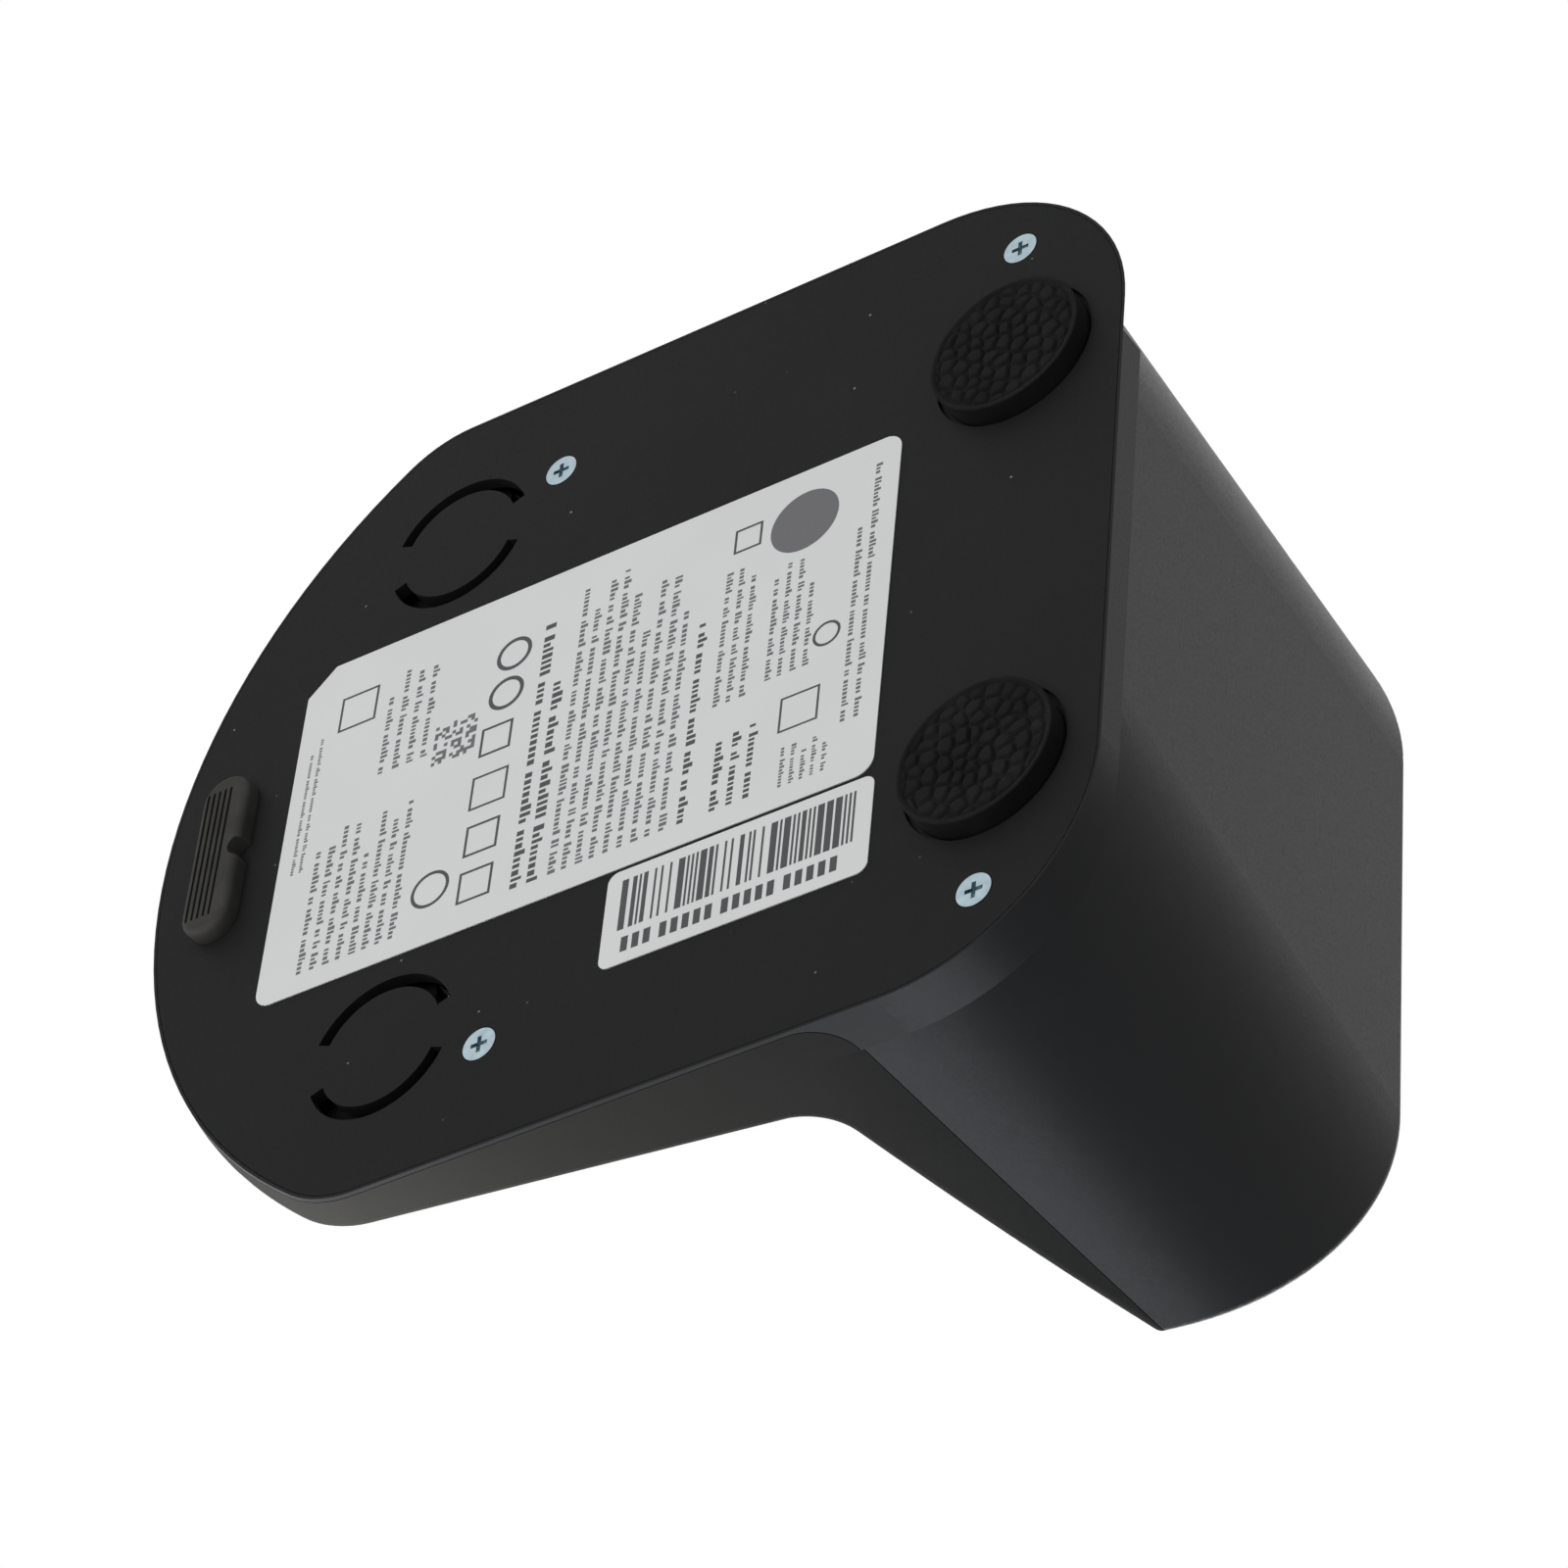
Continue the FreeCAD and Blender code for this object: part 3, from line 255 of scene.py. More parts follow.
def moulded(name, colour, rough, specular=0.5, patch=28.0):
    """Moulded plastic without anything added to it."""
    return moulded_shader(name, colour, rough, specular, patch)[0]


def dusted(tree, shader, tone, speck, density, size):
    """Adds sparse pale dust specks to a surface that lies in X and Y."""
    place = tree.nodes.new("ShaderNodeTexCoord")
    cells = tree.nodes.new("ShaderNodeTexVoronoi")
    cells.voronoi_dimensions = "2D"
    cells.inputs["Scale"].default_value = density
    tree.links.new(place.outputs["Object"], cells.inputs["Vector"])
    near = calculated(tree, "LESS_THAN", cells.outputs["Distance"], size * density)
    split = tree.nodes.new("ShaderNodeSeparateColor")
    tree.links.new(cells.outputs["Color"], split.inputs["Color"])
    chosen = calculated(tree, "MULTIPLY", near, ranged(tree, split.outputs["Red"], 0.0, 1.0, 0.6, 0.9))
    tree.links.new(mixed(tree, chosen, tone, speck), shader.inputs["Base Color"])


def plated(name, colour, rough, stretch=(1.0, 1.0, 1.0), scale=900.0):
    """Plated metal with a streaky polish."""
    material, tree, shader = new_material(name)
    streak = noise(tree, scale, 3.0, stretch)
    tone = mixed(tree, ranged(tree, streak, 0.0, 1.0), scaled(colour, 0.86), colour)
    tree.links.new(tone, shader.inputs["Base Color"])
    tree.links.new(ranged(tree, streak, rough - 0.08, rough + 0.08), shader.inputs["Roughness"])
    shader.inputs["Metallic"].default_value = 1.0
    bumped(tree, shader, streak, 0.12, 0.01 * MM)
    return material


def rubber(name, colour, rough, specular):
    """Matte rubber with a dry bloom."""
    material, tree, shader = new_material(name)
    cloud = noise(tree, 160.0, 5.0)
    fine = noise(tree, 3200.0, 2.0)
    tone = mixed(tree, ranged(tree, cloud, 0.0, 1.0), scaled(colour, 0.8), scaled(colour, 1.3))
    tree.links.new(tone, shader.inputs["Base Color"])
    tree.links.new(ranged(tree, fine, rough - 0.06, rough + 0.06), shader.inputs["Roughness"])
    shader.inputs["Specular IOR Level"].default_value = specular
    bumped(tree, shader, fine, 0.3, 0.03 * MM)
    return material


def film(name, colour, rough=0.42):
    """Satin label film with a faint fibre."""
    material, tree, shader = new_material(name)
    cloud = noise(tree, 60.0, 4.0)
    fine = noise(tree, 2400.0, 2.0)
    tone = mixed(tree, ranged(tree, cloud, 0.0, 1.0), scaled(colour, 0.965), colour)
    tree.links.new(tone, shader.inputs["Base Color"])
    tree.links.new(ranged(tree, fine, rough - 0.04, rough + 0.04), shader.inputs["Roughness"])
    bumped(tree, shader, fine, 0.06, 0.01 * MM)
    return material


def glossy(name, colour, rough, specular=0.5, transmission=0.0):
    """Polished clear or tinted plastic and glass with faint flow marks."""
    material, tree, shader = new_material(name)
    flow = noise(tree, 220.0, 2.0)
    tone = mixed(tree, ranged(tree, flow, 0.0, 1.0), scaled(colour, 0.97), colour)
    tree.links.new(tone, shader.inputs["Base Color"])
    tree.links.new(ranged(tree, flow, rough, rough + 0.015), shader.inputs["Roughness"])
    shader.inputs["Specular IOR Level"].default_value = specular
    shader.inputs["Transmission Weight"].default_value = transmission
    return material


def dress(material, *names):
    """Puts a material in the slots of CAD nodes."""
    for name in names:
        for place in NODES[name].material_slots:
            place.material = material


def carried(name, mesh):
    """Piece that rides on the dock."""
    piece = bpy.data.objects.new(name, mesh)
    bpy.context.scene.collection.objects.link(piece)
    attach(piece, BODY)
    return piece


def new_piece(name, points, faces, material, smooth=True):
    """Piece from points and faces."""
    mesh = bpy.data.meshes.new(name)
    mesh.from_pydata([tuple(p) for p in points], [], [tuple(f) for f in faces])
    mesh.validate()
    mesh.polygons.foreach_set("use_smooth", [smooth] * len(mesh.polygons))
    mesh.materials.append(material)
    return carried(name, mesh)


class DOCK_OT_shells(Operator):
    """Gives the two moulded shells their satin finish"""
    bl_idname = "dock.shells"
    bl_label = "Moulded shells"

    def execute(self, context):
        finishes = context.scene.dock_finishes
        dress(moulded("housing_satin", finishes.housing, 0.38, 0.09), "rear_housing")
        dress(moulded("cover_satin", finishes.cover, 0.62, 0.035), "front_cover")
        return {"FINISHED"}


class DOCK_OT_bottom_plate(Operator):
    """Gives the bottom cover its matte moulded grain and a little dust"""
    bl_idname = "dock.bottom_plate"
    bl_label = "Bottom plate"

    def execute(self, context):
        finishes = context.scene.dock_finishes
        material, tree, shader, tone = moulded_shader("plate_matte", finishes.plate, 0.55, 0.06)
        dusted(tree, shader, tone, (0.3, 0.3, 0.3), 75.0, 0.16 * MM)
        dress(material, "bottom_cover")
        return {"FINISHED"}


# Strip at the right rear corner: reach to either side of the cover's edge, levels over the cover's
# underside, and steps of the arc.
SEAL_INWARD = 0.05 * MM
SEAL_OUTWARD = 0.15 * MM
SEAL_LEVELS = (0.12 * MM, 0.36 * MM)
SEAL_STEPS = 30


def corner_seal_path(high, inset, sizes):
    """Plan line beside the bottom cover's edge round its right rear corner."""
    bend = sizes.corner_round
    centre = Vector((high.x + sizes.cover_inset - bend, high.y + sizes.cover_inset - bend))
    reach = bend - inset
    line = [(centre.x - sizes.seal_tail, centre.y + reach)]
    for step in range(SEAL_STEPS + 1):
        turn = math.radians(90 - 90 * step / SEAL_STEPS)
        line.append((centre.x + reach * math.cos(turn), centre.y + reach * math.sin(turn)))
    line.append((centre.x + reach, centre.y - sizes.seal_tail))
    return line


class DOCK_OT_corner_seal(Operator):
    """Closes the open joint round the bevelled right rear corner with a thin strip"""
    bl_idname = "dock.corner_seal"
    bl_label = "Corner seal"

    def execute(self, context):
        sizes = context.scene.dock_sizes
        low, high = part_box("bottom_cover")
        levels = [low.z + level for level in SEAL_LEVELS]
        insets = (sizes.cover_inset + SEAL_INWARD, sizes.cover_inset - SEAL_OUTWARD)
        sides = [corner_seal_path(high, inset, sizes) for inset in insets]
        count = len(sides[0])
        points = [(x, y, z) for z in levels for side in sides for x, y in side]
        rows = [range(row * count, (row + 1) * count) for row in (0, 1, 3, 2)]
        faces = []
        for row, after in zip(rows, rows[1:] + rows[:1]):
            faces += [(row[i], row[i + 1], after[i + 1], after[i]) for i in range(count - 1)]
        faces += [tuple(row[0] for row in rows), tuple(row[-1] for row in reversed(rows))]
        black = moulded("seal_black", (0.008, 0.008, 0.008), 0.7, 0.05)
        new_piece("corner_seal", points, faces, black, smooth=False)
        return {"FINISHED"}


class DOCK_OT_cover_screws(Operator):
    """Plates the countersunk cover screws"""
    bl_idname = "dock.cover_screws"
    bl_label = "Cover screws"

    def execute(self, context):
        dress(plated("blue_zinc", context.scene.dock_finishes.zinc, 0.34), "cover_screws")
        return {"FINISHED"}


# Rear sole: points around, rings of the pebbled field, its faded border, the step up to the rim,
# the rounded edge, and the waist and neck of the wall.
SOLE_AROUND = 220
SOLE_RINGS = 74
SOLE_FADE = 0.4 * MM
SOLE_STEP = 0.12 * MM
SOLE_EDGE = 0.2 * MM
SOLE_EDGE_STEPS = 5
SOLE_WAIST = 0.08 * MM
SOLE_WAIST_UP = 0.55
SOLE_NECK = 0.3 * MM
PEBBLE_SHAKE = 0.3
FIRST_SOLE_SEED = 11


def pebble_seeds(radius, pitch, seed):
    """Middles of the pebbles: a close-packed field, shaken."""
    shake = random.Random(seed)
    seeds = []
    rows = int(radius / pitch) + 3
    for row in range(-rows, rows + 1):
        for column in range(-rows, rows + 1):
            x = (column + 0.5 * (row % 2)) * pitch + shake.uniform(-PEBBLE_SHAKE, PEBBLE_SHAKE) * pitch
            y = row * pitch * 0.87 + shake.uniform(-PEBBLE_SHAKE, PEBBLE_SHAKE) * pitch
            seeds.append((x, y))
    return np.array(seeds)


def pebble_height(points, seeds, sizes):
    """Depth of the sole below its pebbles' tops at each point."""
    distance = np.linalg.norm(points[:, None, :] - seeds[None, :, :], axis=2)
    distance.sort(axis=1)
    edge = np.clip((distance[:, 1] - distance[:, 0]) / sizes.groove, 0.0, 1.0)
    groove = 1.0 - edge * edge * (3.0 - 2.0 * edge)
    dome = (distance[:, 0] / sizes.pebble) ** 2
    return sizes.groove_depth * (0.85 * groove + 0.35 * dome)


def sole_mesh(low, high, sizes, seed):
    """Points and faces of a round foot whose sole carries pebbles inside a plain rim."""
    centre = Vector(((low.x + high.x) / 2, (low.y + high.y) / 2))
    radius = (high.x - low.x) / 2
    height = high.z - low.z
    field = radius - SOLE_EDGE - sizes.sole_rim
    around = SOLE_AROUND
    profile = [(field * ring / SOLE_RINGS, None) for ring in range(1, SOLE_RINGS + 1)]
    profile += [(field + SOLE_STEP, 0.0), (radius - SOLE_EDGE, 0.0)]
    for step in range(1, SOLE_EDGE_STEPS + 1):
        turn = math.radians(90) * step / SOLE_EDGE_STEPS
        profile.append((radius - SOLE_EDGE + SOLE_EDGE * math.sin(turn), SOLE_EDGE - SOLE_EDGE * math.cos(turn)))
    profile += [(radius - SOLE_WAIST, height * SOLE_WAIST_UP), (radius, height - SOLE_NECK), (radius, height)]
    angles = np.arange(around) * (2 * math.pi / around)
    seeds = pebble_seeds(radius, sizes.pebble, seed)
    points = [(centre.x, centre.y, low.z + float(pebble_height(np.zeros((1, 2)), seeds, sizes)[0]))]
    for span, rise in profile:
        plan = np.stack([span * np.cos(angles), span * np.sin(angles)], axis=1)
        if rise is None:
            fade = min(1.0, (field - span) / SOLE_FADE)
            lift = pebble_height(plan, seeds, sizes) * fade + (1.0 - fade) * sizes.groove_depth * 0.5
        else:
            lift = np.full(around, rise)
        points += [(centre.x + x, centre.y + y, low.z + z) for (x, y), z in zip(plan, lift)]
    faces = [(0, 1 + (i + 1) % around, 1 + i) for i in range(around)]
    for ring in range(len(profile) - 1):
        start = 1 + ring * around
        for i in range(around):
            j = (i + 1) % around
            faces.append((start + i, start + j, start + around + j, start + around + i))
    last = 1 + (len(profile) - 1) * around
    faces.append(tuple(last + i for i in range(around)))
    return points, faces


class DOCK_OT_rear_soles(Operator):
    """Builds the rear feet with their pebbled soles"""
    bl_idname = "dock.rear_soles"
    bl_label = "Rear soles"

    def execute(self, context):
        material = rubber("black_rubber", context.scene.dock_finishes.rear_sole, 0.78, 0.03)
        for seed, side in enumerate(("left", "right")):
            node = "rear_foot_" + side
            low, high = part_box(node)
            points, faces = sole_mesh(low, high, context.scene.dock_sizes, FIRST_SOLE_SEED + seed)
            piece = new_piece("pebbled_foot_" + side, points, faces, material)
            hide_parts(node)
        return {"FINISHED"}


class DOCK_OT_front_foot(Operator):
    """Gives the ribbed front foot its grey rubber"""
    bl_idname = "dock.front_foot"
    bl_label = "Front foot"

    def execute(self, context):
        dress(rubber("grey_rubber", context.scene.dock_finishes.front_sole, 0.7, 0.06), "front_foot")
        return {"FINISHED"}


def bar(points, faces, x0, x1, y0, y1, z):
    """A printed rectangle that faces down."""
    first = len(points)
    points += [(x0, y0, z), (x0, y1, z), (x1, y1, z), (x1, y0, z)]
    faces.append((first, first + 1, first + 2, first + 3))


def outline(points, faces, x, y, radius, line, corners, z):
    """A plain ring or square frame, drawn with a line of even width."""
    first = len(points)
    for span in (radius, radius - line):
        for corner in range(corners):
            turn = 2 * math.pi * (corner + 0.5) / corners
            points.append((x + span * math.cos(turn), y + span * math.sin(turn), z))
    for corner in range(corners):
        after = (corner + 1) % corners
        faces.append((first + corner, first + corners + corner, first + corners + after, first + after))


def disc(points, faces, x, y, radius, corners, z):
    """A printed round field that faces down."""
    first = len(points)
    for corner in range(corners):
        turn = -2 * math.pi * corner / corners
        points.append((x + radius * math.cos(turn), y + radius * math.sin(turn), z))
    faces.append(tuple(range(first, first + corners)))


def print_row(points, faces, start, end, y, size, z, shake):
    """A row of plain small blocks along X, grouped like words, in the place of a line of print."""
    x = start
    while x < end:
        for _ in range(shake.randint(2, 9)):
            width = size * shake.uniform(0.3, 0.55)
            if x + width > end:
                return
            bar(points, faces, x, x + width, y, y + size * shake.choice((0.66, 0.66, 0.66, 1.0)), z)
            x += width + 0.24 * size
        x += 0.55 * size


# Places of the print on the large label, in millimetres from its left edge and its front edge:
# left end, right end, first row, number of rows, row pitch and height of the print.
SMALL_PRINT = (
    (21.0, 44.0, 2.2, 2, 1.3, 0.6),
    (3.2, 26.0, 6.0, 8, 2.0, 1.05),
    (33.0, 51.0, 14.0, 4, 2.2, 1.05),
    (3.6, 52.0, 43.8, 9, 2.02, 1.1),
    (21.0, 44.0, 66.0, 3, 1.9, 0.95),
    (22.0, 41.0, 73.4, 4, 1.8, 0.9),
    (10.0, 53.0, 85.2, 2, 1.9, 0.95),
    (3.2, 9.5, 77.0, 5, 1.5, 0.7),
)
BOLD_PRINT = (
    (3.6, 48.0, 38.2, 2, 2.5, 1.6),
    (3.6, 37.0, 62.6, 1, 2.0, 1.35),
    (3.6, 16.0, 67.2, 3, 2.4, 1.3),
)
# Plain frames and rings: middle from the left edge and from the front edge, radius, line and corners.
PLAIN_MARKS = (
    (7.0, 32.6, 3.6, 0.55, 4),
    (14.6, 32.6, 3.6, 0.55, 4),
    (22.6, 32.6, 3.9, 0.5, 4),
    (31.0, 32.6, 3.4, 0.55, 4),
    (38.4, 33.2, 2.7, 0.6, 40),
    (45.0, 33.6, 2.7, 0.6, 40),
    (9.0, 25.6, 2.9, 0.5, 40),
    (46.6, 9.0, 4.2, 0.5, 4),
    (15.0, 79.0, 4.0, 0.45, 4),
    (26.0, 82.0, 2.0, 0.4, 40),
    (48.5, 68.6, 2.9, 0.5, 4),
)


# Round grey field (middle and radius) and square field of blocks (corner, block and count a side),
# in millimetres from the same edges.
ROUND_FIELD = (47.4, 77.0, 5.0)
ROUND_CORNERS = 40
BLOCK_FIELD = (30.5, 22.6)
BLOCK = 0.55 * MM
BLOCK_COUNT = 12
# Stripes on the small label: sides left free round the stripes, and the row of blocks beside them.
STRIPES_FROM_LEFT = 5.4 * MM
STRIPES_FROM_RIGHT = 1.7 * MM
STRIPES_FROM_FRONT = 2.2 * MM
STRIPES_FREE = 4.6 * MM
STRIPE_WIDTHS = (1.0, 1.0, 2.0, 3.0)
TALLY_LEFT = 1.8 * MM
TALLY_RIGHT = 4.1 * MM
TALLY_FROM_FRONT = 3.0 * MM
TALLY_FROM_REAR = 5.0 * MM
TALLY_BLOCK = 1.0 * MM
TALLY_PITCH = 1.6 * MM
TALLY_GAP = 0.7 * MM


class DOCK_OT_label_print(Operator):
    """Lays white film and plain printed blocks, frames and stripes on the two labels"""
    bl_idname = "dock.label_print"
    bl_label = "Label print"

    def execute(self, context):
        finishes = context.scene.dock_finishes
        sizes = context.scene.dock_sizes
        dress(film("label_film", finishes.film), "rating_label", "barcode_label")
        ink = film("label_ink", finishes.ink, 0.5)
        grey = film("label_grey", finishes.grey_ink, 0.5)
        low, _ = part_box("rating_label")
        corner = (low.x, low.y, low.z - sizes.ink_lift)
        self.rows("rating_print", SMALL_PRINT, grey, corner, 5)
        self.rows("rating_bold_print", BOLD_PRINT, ink, corner, 6)
        self.marks(ink, corner)
        self.fields(grey, corner)
        self.stripes(ink, sizes)
        return {"FINISHED"}

    def rows(self, name, blocks, ink, corner, seed):
        """Blocks of print, each row ending a little earlier or later."""
        x, y, z = corner
        shake = random.Random(seed)
        points, faces = [], []
        for left, right, front, count, pitch, size in blocks:
            for row in range(count):
                end = right - shake.choice((0.0, 0.0, 0.1, 0.25)) * (right - left)
                print_row(points, faces, x + left * MM, x + end * MM, y + (front + row * pitch) * MM,
                          size * MM, z, shake)
        new_piece(name, points, faces, ink, smooth=False)

    def marks(self, ink, corner):
        """Plain frames and rings."""
        x, y, z = corner
        points, faces = [], []
        for left, front, radius, line, corners in PLAIN_MARKS:
            outline(points, faces, x + left * MM, y + front * MM, radius * MM, line * MM, corners, z)
        new_piece("rating_marks", points, faces, ink, smooth=False)

    def fields(self, ink, corner):
        """A round grey field and a square field of small blocks."""
        x, y, z = corner
        points, faces = [], []
        left, front, radius = ROUND_FIELD
        disc(points, faces, x + left * MM, y + front * MM, radius * MM, ROUND_CORNERS, z)
        shake = random.Random(3)
        left, front = BLOCK_FIELD
        for row in range(BLOCK_COUNT):
            for column in range(BLOCK_COUNT):
                if shake.random() < 0.5:
                    start = x + left * MM + column * BLOCK
                    level = y + front * MM + row * BLOCK
                    bar(points, faces, start, start + BLOCK, level, level + BLOCK, z)
        new_piece("rating_fields", points, faces, ink, smooth=False)

    def stripes(self, ink, sizes):
        """Stripes of random width, and a row of blocks in groups beside them."""
        low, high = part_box("barcode_label")
        z = low.z - sizes.ink_lift
        shake = random.Random(9)
        points, faces = [], []
        widths = [shake.choice(STRIPE_WIDTHS) for _ in range(2 * sizes.stripes - 1)]
        unit = (high.y - low.y - STRIPES_FREE) / sum(widths)
        left, right = low.x + STRIPES_FROM_LEFT, high.x - STRIPES_FROM_RIGHT
        y = low.y + STRIPES_FROM_FRONT
        for index, width in enumerate(widths):
            if index % 2 == 0:
                bar(points, faces, left, right, y, y + width * unit, z)
            y += width * unit
        y = low.y + TALLY_FROM_FRONT
        while y < high.y - TALLY_FROM_REAR:
            for _ in range(shake.choice((1, 3, 5))):
                bar(points, faces, low.x + TALLY_LEFT, low.x + TALLY_RIGHT, y, y + TALLY_BLOCK, z)
                y += TALLY_PITCH
            y += TALLY_GAP
        new_piece("stripe_print", points, faces, ink, smooth=False)


class DOCK_OT_infrared_unit(Operator):
    """Finishes the window, light pipe and emitters"""
    bl_idname = "dock.infrared_unit"
    bl_label = "Infrared unit"

    def execute(self, context):
        dress(glossy("window_black", (0.009, 0.005, 0.006), 0.07, 0.22), "ir_window")
        dress(glossy("milky_pipe", (0.72, 0.76, 0.74), 0.3, transmission=0.25), "status_light")
        dress(glossy("tinted_lens", (0.16, 0.16, 0.22), 0.07, transmission=0.6), "ir_emitters")
        return {"FINISHED"}


class DOCK_OT_power_supply(Operator):
    """Finishes the boards and what stands on them"""
    bl_idname = "dock.power_supply"
    bl_label = "Power supply"

    def execute(self, context):
        dress(moulded("solder_resist", (0.02, 0.13, 0.055), 0.35, patch=300.0), "power_board", "ir_board")
        dress(plated("bright_zinc", (0.62, 0.62, 0.6), 0.35), "power_board_screws", "ir_board_screws")
        dress(moulded("ferrite_and_tape", (0.04, 0.038, 0.034), 0.6, 0.4, 400.0), "transformer")
        dress(moulded("capacitor_sleeve", (0.018, 0.022, 0.05), 0.28, patch=200.0),
              "bulk_capacitor", "output_capacitors")
        dress(plated("enamelled_copper", (0.62, 0.26, 0.11), 0.3, (1.0, 6.0, 1.0)), "line_choke")
        dress(glossy("fuse_tube", (0.86, 0.9, 0.9), 0.05, transmission=0.9), "mains_fuse")
        dress(plated("extruded_aluminium", (0.64, 0.65, 0.66), 0.42, (1.0, 1.0, 0.1)), "heat_sink")
        dress(moulded("plug_ivory", (0.68, 0.66, 0.58), 0.45), "output_plug")
        dress(moulded("mains_insulation", (0.03, 0.07, 0.25), 0.4), "mains_leads")
        return {"FINISHED"}


class DOCK_OT_mains_inlet(Operator):
    """Finishes the inlet and its pins"""
    bl_idname = "dock.mains_inlet"
    bl_label = "Mains inlet"

    def execute(self, context):
        dress(moulded("inlet_black", (0.011, 0.011, 0.0115), 0.4), "mains_inlet")
        dress(plated("pin_nickel", context.scene.dock_finishes.nickel, 0.26, (0.1, 1.0, 1.0)), "inlet_pins")
        return {"FINISHED"}


# Painted shade on the contacts' downward faces, a dark non-metal colour in place of the nickel: its colour, and
# the heights of a downward normal between which it gives way to metal.
PAINTED_SHADE_BLACK = (0.01, 0.01, 0.01)
SHADE_FROM = -0.9
SHADE_TO = -0.5


class DOCK_OT_contacts(Operator):
    """Finishes the charging contacts, their springs and leads"""
    bl_idname = "dock.contacts"
    bl_label = "Charging contacts"

    def execute(self, context):
        nickel = plated("contact_nickel", context.scene.dock_finishes.nickel, 0.2, (0.15, 1.0, 1.0), 1600.0)
        # Painted shade on the contacts' downward faces.
        self.painted_shade_underside(nickel)
        bronze = plated("spring_bronze", (0.34, 0.21, 0.1), 0.36)
        lead = moulded("lead_black", (0.014, 0.014, 0.015), 0.45)
        for side in ("left", "right"):
            dress(nickel, "charging_contact_" + side)
            dress(bronze, "contact_spring_" + side)
            dress(lead, "contact_lead_" + side)
            self.leaf_spring(side, bronze, context.scene.dock_sizes.contact_travel)
        return {"FINISHED"}

    def painted_shade_underside(self, material):
        """Paints shade on the side that faces the base: a dark non-metal colour there in place of the metal."""
        tree = material.node_tree
        shader = next(n for n in tree.nodes if n.type == "BSDF_PRINCIPLED")
        place = tree.nodes.new("ShaderNodeTexCoord")
        split = tree.nodes.new("ShaderNodeSeparateXYZ")
        tree.links.new(place.outputs["Normal"], split.inputs["Vector"])
        # Painted shade: faces whose normal points down get the dark colour, the others keep the metal.
        cap = ranged(tree, split.outputs["Z"], 0.0, 1.0, SHADE_FROM, SHADE_TO)
        metal = shader.inputs["Base Color"].links[0].from_socket
        tree.links.new(mixed(tree, cap, PAINTED_SHADE_BLACK, metal), shader.inputs["Base Color"])
        tree.links.new(cap, shader.inputs["Metallic"])
        shader.inputs["Specular IOR Level"].default_value = 0.1

    def leaf_spring(self, side, bronze, travel):
        """Stands for a spring: a copy of its mesh in bronze, in place of the hidden part."""
        node = "contact_spring_" + side
        mesh = NODES[node].data.copy()
        mesh.materials.clear()
        mesh.materials.append(bronze)
        piece = carried("leaf_spring_" + side, mesh)
        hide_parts(node)
        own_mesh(piece)


# Lamps: place and diameter in metres, power in watts.
UNDER_BOX = {"place": (-0.15, -0.2, -0.95), "size": 0.8, "power": 5.0}
TOP_BOX = {"place": (0.1, -0.25, 1.3), "size": 1.1, "power": 11.0}
SIDE_BOX = {"place": (-0.79, -0.08, 0.62), "size": 0.75, "power": 7.0, "colour": (0.86, 0.93, 1.0)}
RAMP_BOX = {"place": (-0.118, -0.073, 0.025), "size": 0.05, "power": 0.39}
RAMP_SIDE = (-0.06, -0.06, 0.01)
SENSOR_WIDTH = 36.0
CLIP_NEAR = 0.05
CLIP_FAR = 20.0
# Floor: half its side, and the distances between which it fades to white, in metres.
FLOOR_HALF = 3.0
FLOOR_FADE_START = 0.2
FLOOR_FADE_END = 1.0


def area_lamp(name, target, place, size, power, colour=(1.0, 1.0, 1.0)):
    """Round soft lamp that the camera doesn't see."""
    lamp = bpy.data.lights.new(name, "AREA")
    lamp.shape = "DISK"
    lamp.size = size
    lamp.energy = power
    lamp.color = colour
    stand = bpy.data.objects.new(name, lamp)
    stand.location = place
    stand.visible_camera = False
    stand.rotation_euler = (Vector(target) - Vector(place)).to_track_quat("-Z", "Y").to_euler()
    bpy.context.scene.collection.objects.link(stand)
    return stand


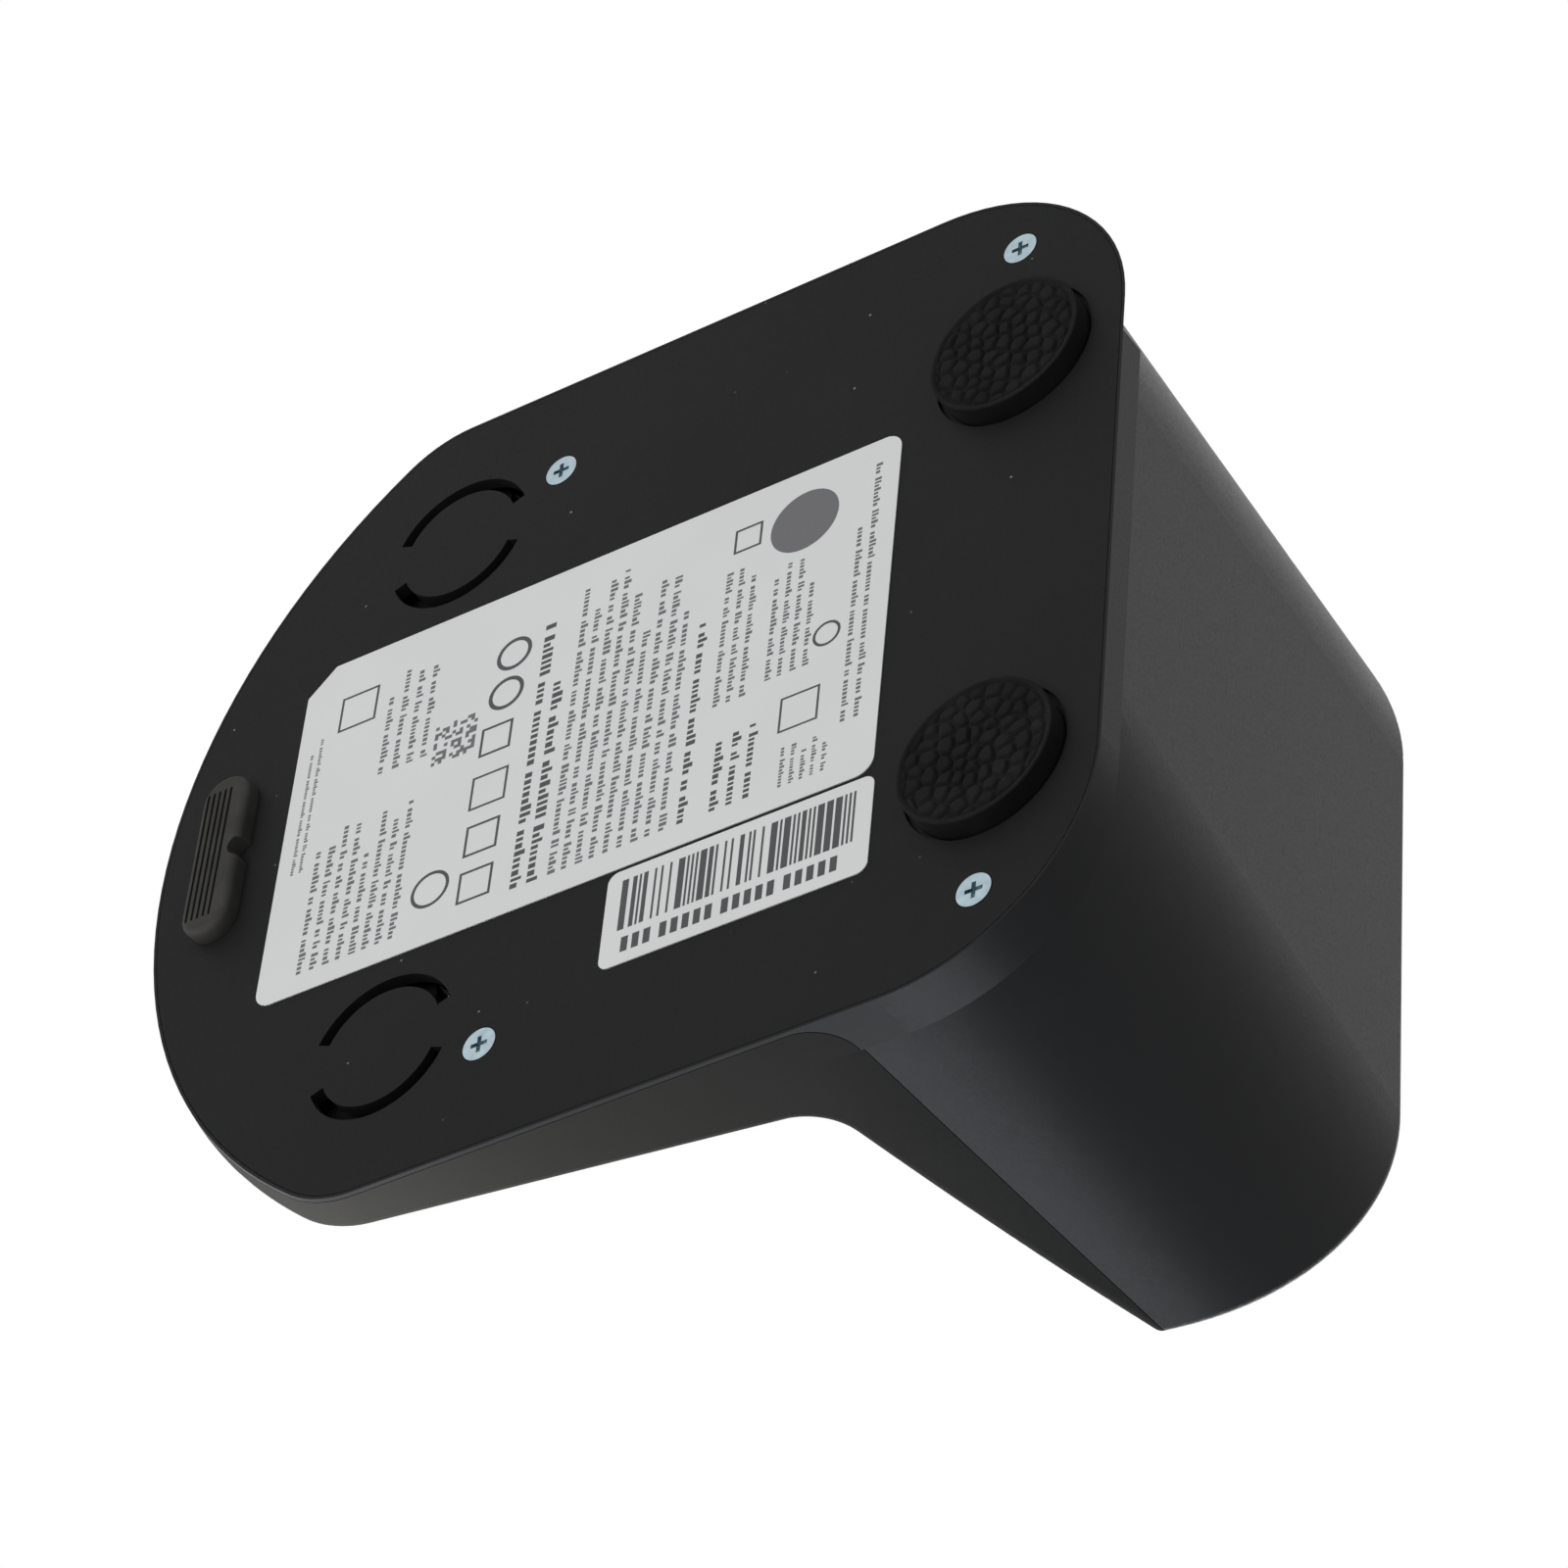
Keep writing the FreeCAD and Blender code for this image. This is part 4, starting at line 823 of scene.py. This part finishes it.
class DOCK_OT_studio(Operator):
    """Sets up the camera, the even light, the lamps and the pale floor"""
    bl_idname = "dock.studio"
    bl_label = "Studio"

    def execute(self, context):
        studio = context.scene.dock_studio
        self.camera(context, studio)
        self.surroundings(context, studio)
        floor = self.floor(studio)
        middle = (CAD_BOX[0] + CAD_BOX[1]) / 2
        area_lamp("under_box", middle, **UNDER_BOX)
        area_lamp("top_box", middle, **TOP_BOX)
        side = area_lamp("side_box", middle, **SIDE_BOX)
        ramp = area_lamp("ramp_box", RAMP_SIDE, **RAMP_BOX)
        ramp.visible_glossy = False
        self.keep_off_floor((side, ramp), floor)
        return {"FINISHED"}

    def keep_off_floor(self, fills, floor):
        """Lets the fill lamps light the dock alone."""
        lit = bpy.data.collections.new("dock_parts")
        for piece in bpy.context.scene.objects:
            if piece.type == "MESH" and piece != floor:
                lit.objects.link(piece)
        for lamp in fills:
            lamp.light_linking.receiver_collection = lit

    def camera(self, context, studio):
        """Camera at the photograph's viewing angle."""
        data = bpy.data.cameras.new("photo_camera")
        data.lens = studio.lens
        data.sensor_width = SENSOR_WIDTH
        data.clip_start = CLIP_NEAR
        data.clip_end = CLIP_FAR
        camera = bpy.data.objects.new("photo_camera", data)
        camera.location = studio.camera_place
        camera.rotation_euler = Euler(studio.camera_turn, "XYZ")
        context.scene.collection.objects.link(camera)
        context.scene.camera = camera
        context.scene.view_settings.view_transform = "Standard"

    def surroundings(self, context, studio):
        """White to the eye, an even light on the dock."""
        world = bpy.data.worlds.new("studio_white")
        context.scene.world = world
        world.use_nodes = True
        tree = world.node_tree
        tree.nodes.clear()
        output = tree.nodes.new("ShaderNodeOutputWorld")
        light = tree.nodes.new("ShaderNodeBackground")
        seen = tree.nodes.new("ShaderNodeBackground")
        light.inputs["Color"].default_value = (1.0, 1.0, 1.0, 1.0)
        light.inputs["Strength"].default_value = studio.ambient
        seen.inputs["Color"].default_value = (1.0, 1.0, 1.0, 1.0)
        seen.inputs["Strength"].default_value = 1.0
        path = tree.nodes.new("ShaderNodeLightPath")
        shown = path.outputs["Is Camera Ray"]
        for ray in ("Is Glossy Ray", "Is Transmission Ray"):
            shown = calculated(tree, "MAXIMUM", shown, path.outputs[ray])
        sky = blended(tree, shown, light.outputs[0], seen.outputs[0])
        tree.links.new(sky, output.inputs["Surface"])

    def floor(self, studio):
        """Pale floor under the feet that shows from above and lets light and views from below pass."""
        material, tree, shader = new_material("pale_floor")
        cloud = noise(tree, 3.0, 3.0)
        tone = mixed(tree, ranged(tree, cloud, 0.0, 1.0), scaled(studio.floor, 0.98), studio.floor)
        tree.links.new(tone, shader.inputs["Base Color"])
        shader.inputs["Roughness"].default_value = 0.9
        shader.inputs["Specular IOR Level"].default_value = 0.0
        place = tree.nodes.new("ShaderNodeTexCoord")
        reach = tree.nodes.new("ShaderNodeVectorMath")
        reach.operation = "LENGTH"
        tree.links.new(place.outputs["Object"], reach.inputs[0])
        far = tree.nodes.new("ShaderNodeEmission")
        fade = ranged(tree, reach.outputs["Value"], 0.0, 1.0, FLOOR_FADE_START, FLOOR_FADE_END)
        faded = blended(tree, fade, shader.outputs[0], far.outputs[0])
        path = tree.nodes.new("ShaderNodeLightPath")
        side = tree.nodes.new("ShaderNodeNewGeometry")
        clear = tree.nodes.new("ShaderNodeBsdfTransparent")
        above = calculated(tree, "SUBTRACT", path.outputs["Is Camera Ray"], side.outputs["Backfacing"],
                           clamp=True)
        surface = blended(tree, above, clear.outputs[0], faded)
        output = next(n for n in tree.nodes if n.type == "OUTPUT_MATERIAL")
        tree.links.new(surface, output.inputs["Surface"])
        mesh = bpy.data.meshes.new("studio_floor")
        corners = [(x * FLOOR_HALF, y * FLOOR_HALF, 0) for x, y in ((-1, -1), (1, -1), (1, 1), (-1, 1))]
        mesh.from_pydata(corners, [], [(0, 1, 2, 3)])
        mesh.materials.append(material)
        plane = bpy.data.objects.new("studio_floor", mesh)
        plane.location.z = CAD_BOX[0].z
        bpy.context.scene.collection.objects.link(plane)
        return plane


STEPS = (
    DOCK_OT_shells,
    DOCK_OT_bottom_plate,
    DOCK_OT_corner_seal,
    DOCK_OT_cover_screws,
    DOCK_OT_rear_soles,
    DOCK_OT_front_foot,
    DOCK_OT_label_print,
    DOCK_OT_infrared_unit,
    DOCK_OT_power_supply,
    DOCK_OT_mains_inlet,
    DOCK_OT_contacts,
    DOCK_OT_studio,
)
GROUPS = {"dock_finishes": DockFinishes, "dock_sizes": DockSizes, "dock_studio": DockStudio}


class DOCK_PT_panel(Panel):
    """Sidebar panel with the dock's settings and steps"""
    bl_idname = "DOCK_PT_panel"
    bl_label = "Charging dock"
    bl_space_type = "VIEW_3D"
    bl_region_type = "UI"
    bl_category = "Dock"

    def draw(self, context):
        for name, group in GROUPS.items():
            box = self.layout.box()
            for prop in group.__annotations__:
                box.prop(getattr(context.scene, name), prop)
        for step in STEPS:
            self.layout.operator(step.bl_idname)


def register():
    """Makes the settings, steps and panel known to Blender."""
    for group in GROUPS.values():
        bpy.utils.register_class(group)
    for step in STEPS:
        bpy.utils.register_class(step)
    bpy.utils.register_class(DOCK_PT_panel)
    for name, group in GROUPS.items():
        setattr(bpy.types.Scene, name, PointerProperty(type=group))


def unregister():
    """Takes them away again."""
    for name in GROUPS:
        delattr(bpy.types.Scene, name)
    bpy.utils.unregister_class(DOCK_PT_panel)
    for step in reversed(STEPS):
        bpy.utils.unregister_class(step)
    for group in reversed(list(GROUPS.values())):
        bpy.utils.unregister_class(group)


def main():
    """Dresses the dock."""
    register()
    for step in STEPS:
        family, name = step.bl_idname.split(".")
        getattr(getattr(bpy.ops, family), name)()


if __name__ == "__main__":
    main()
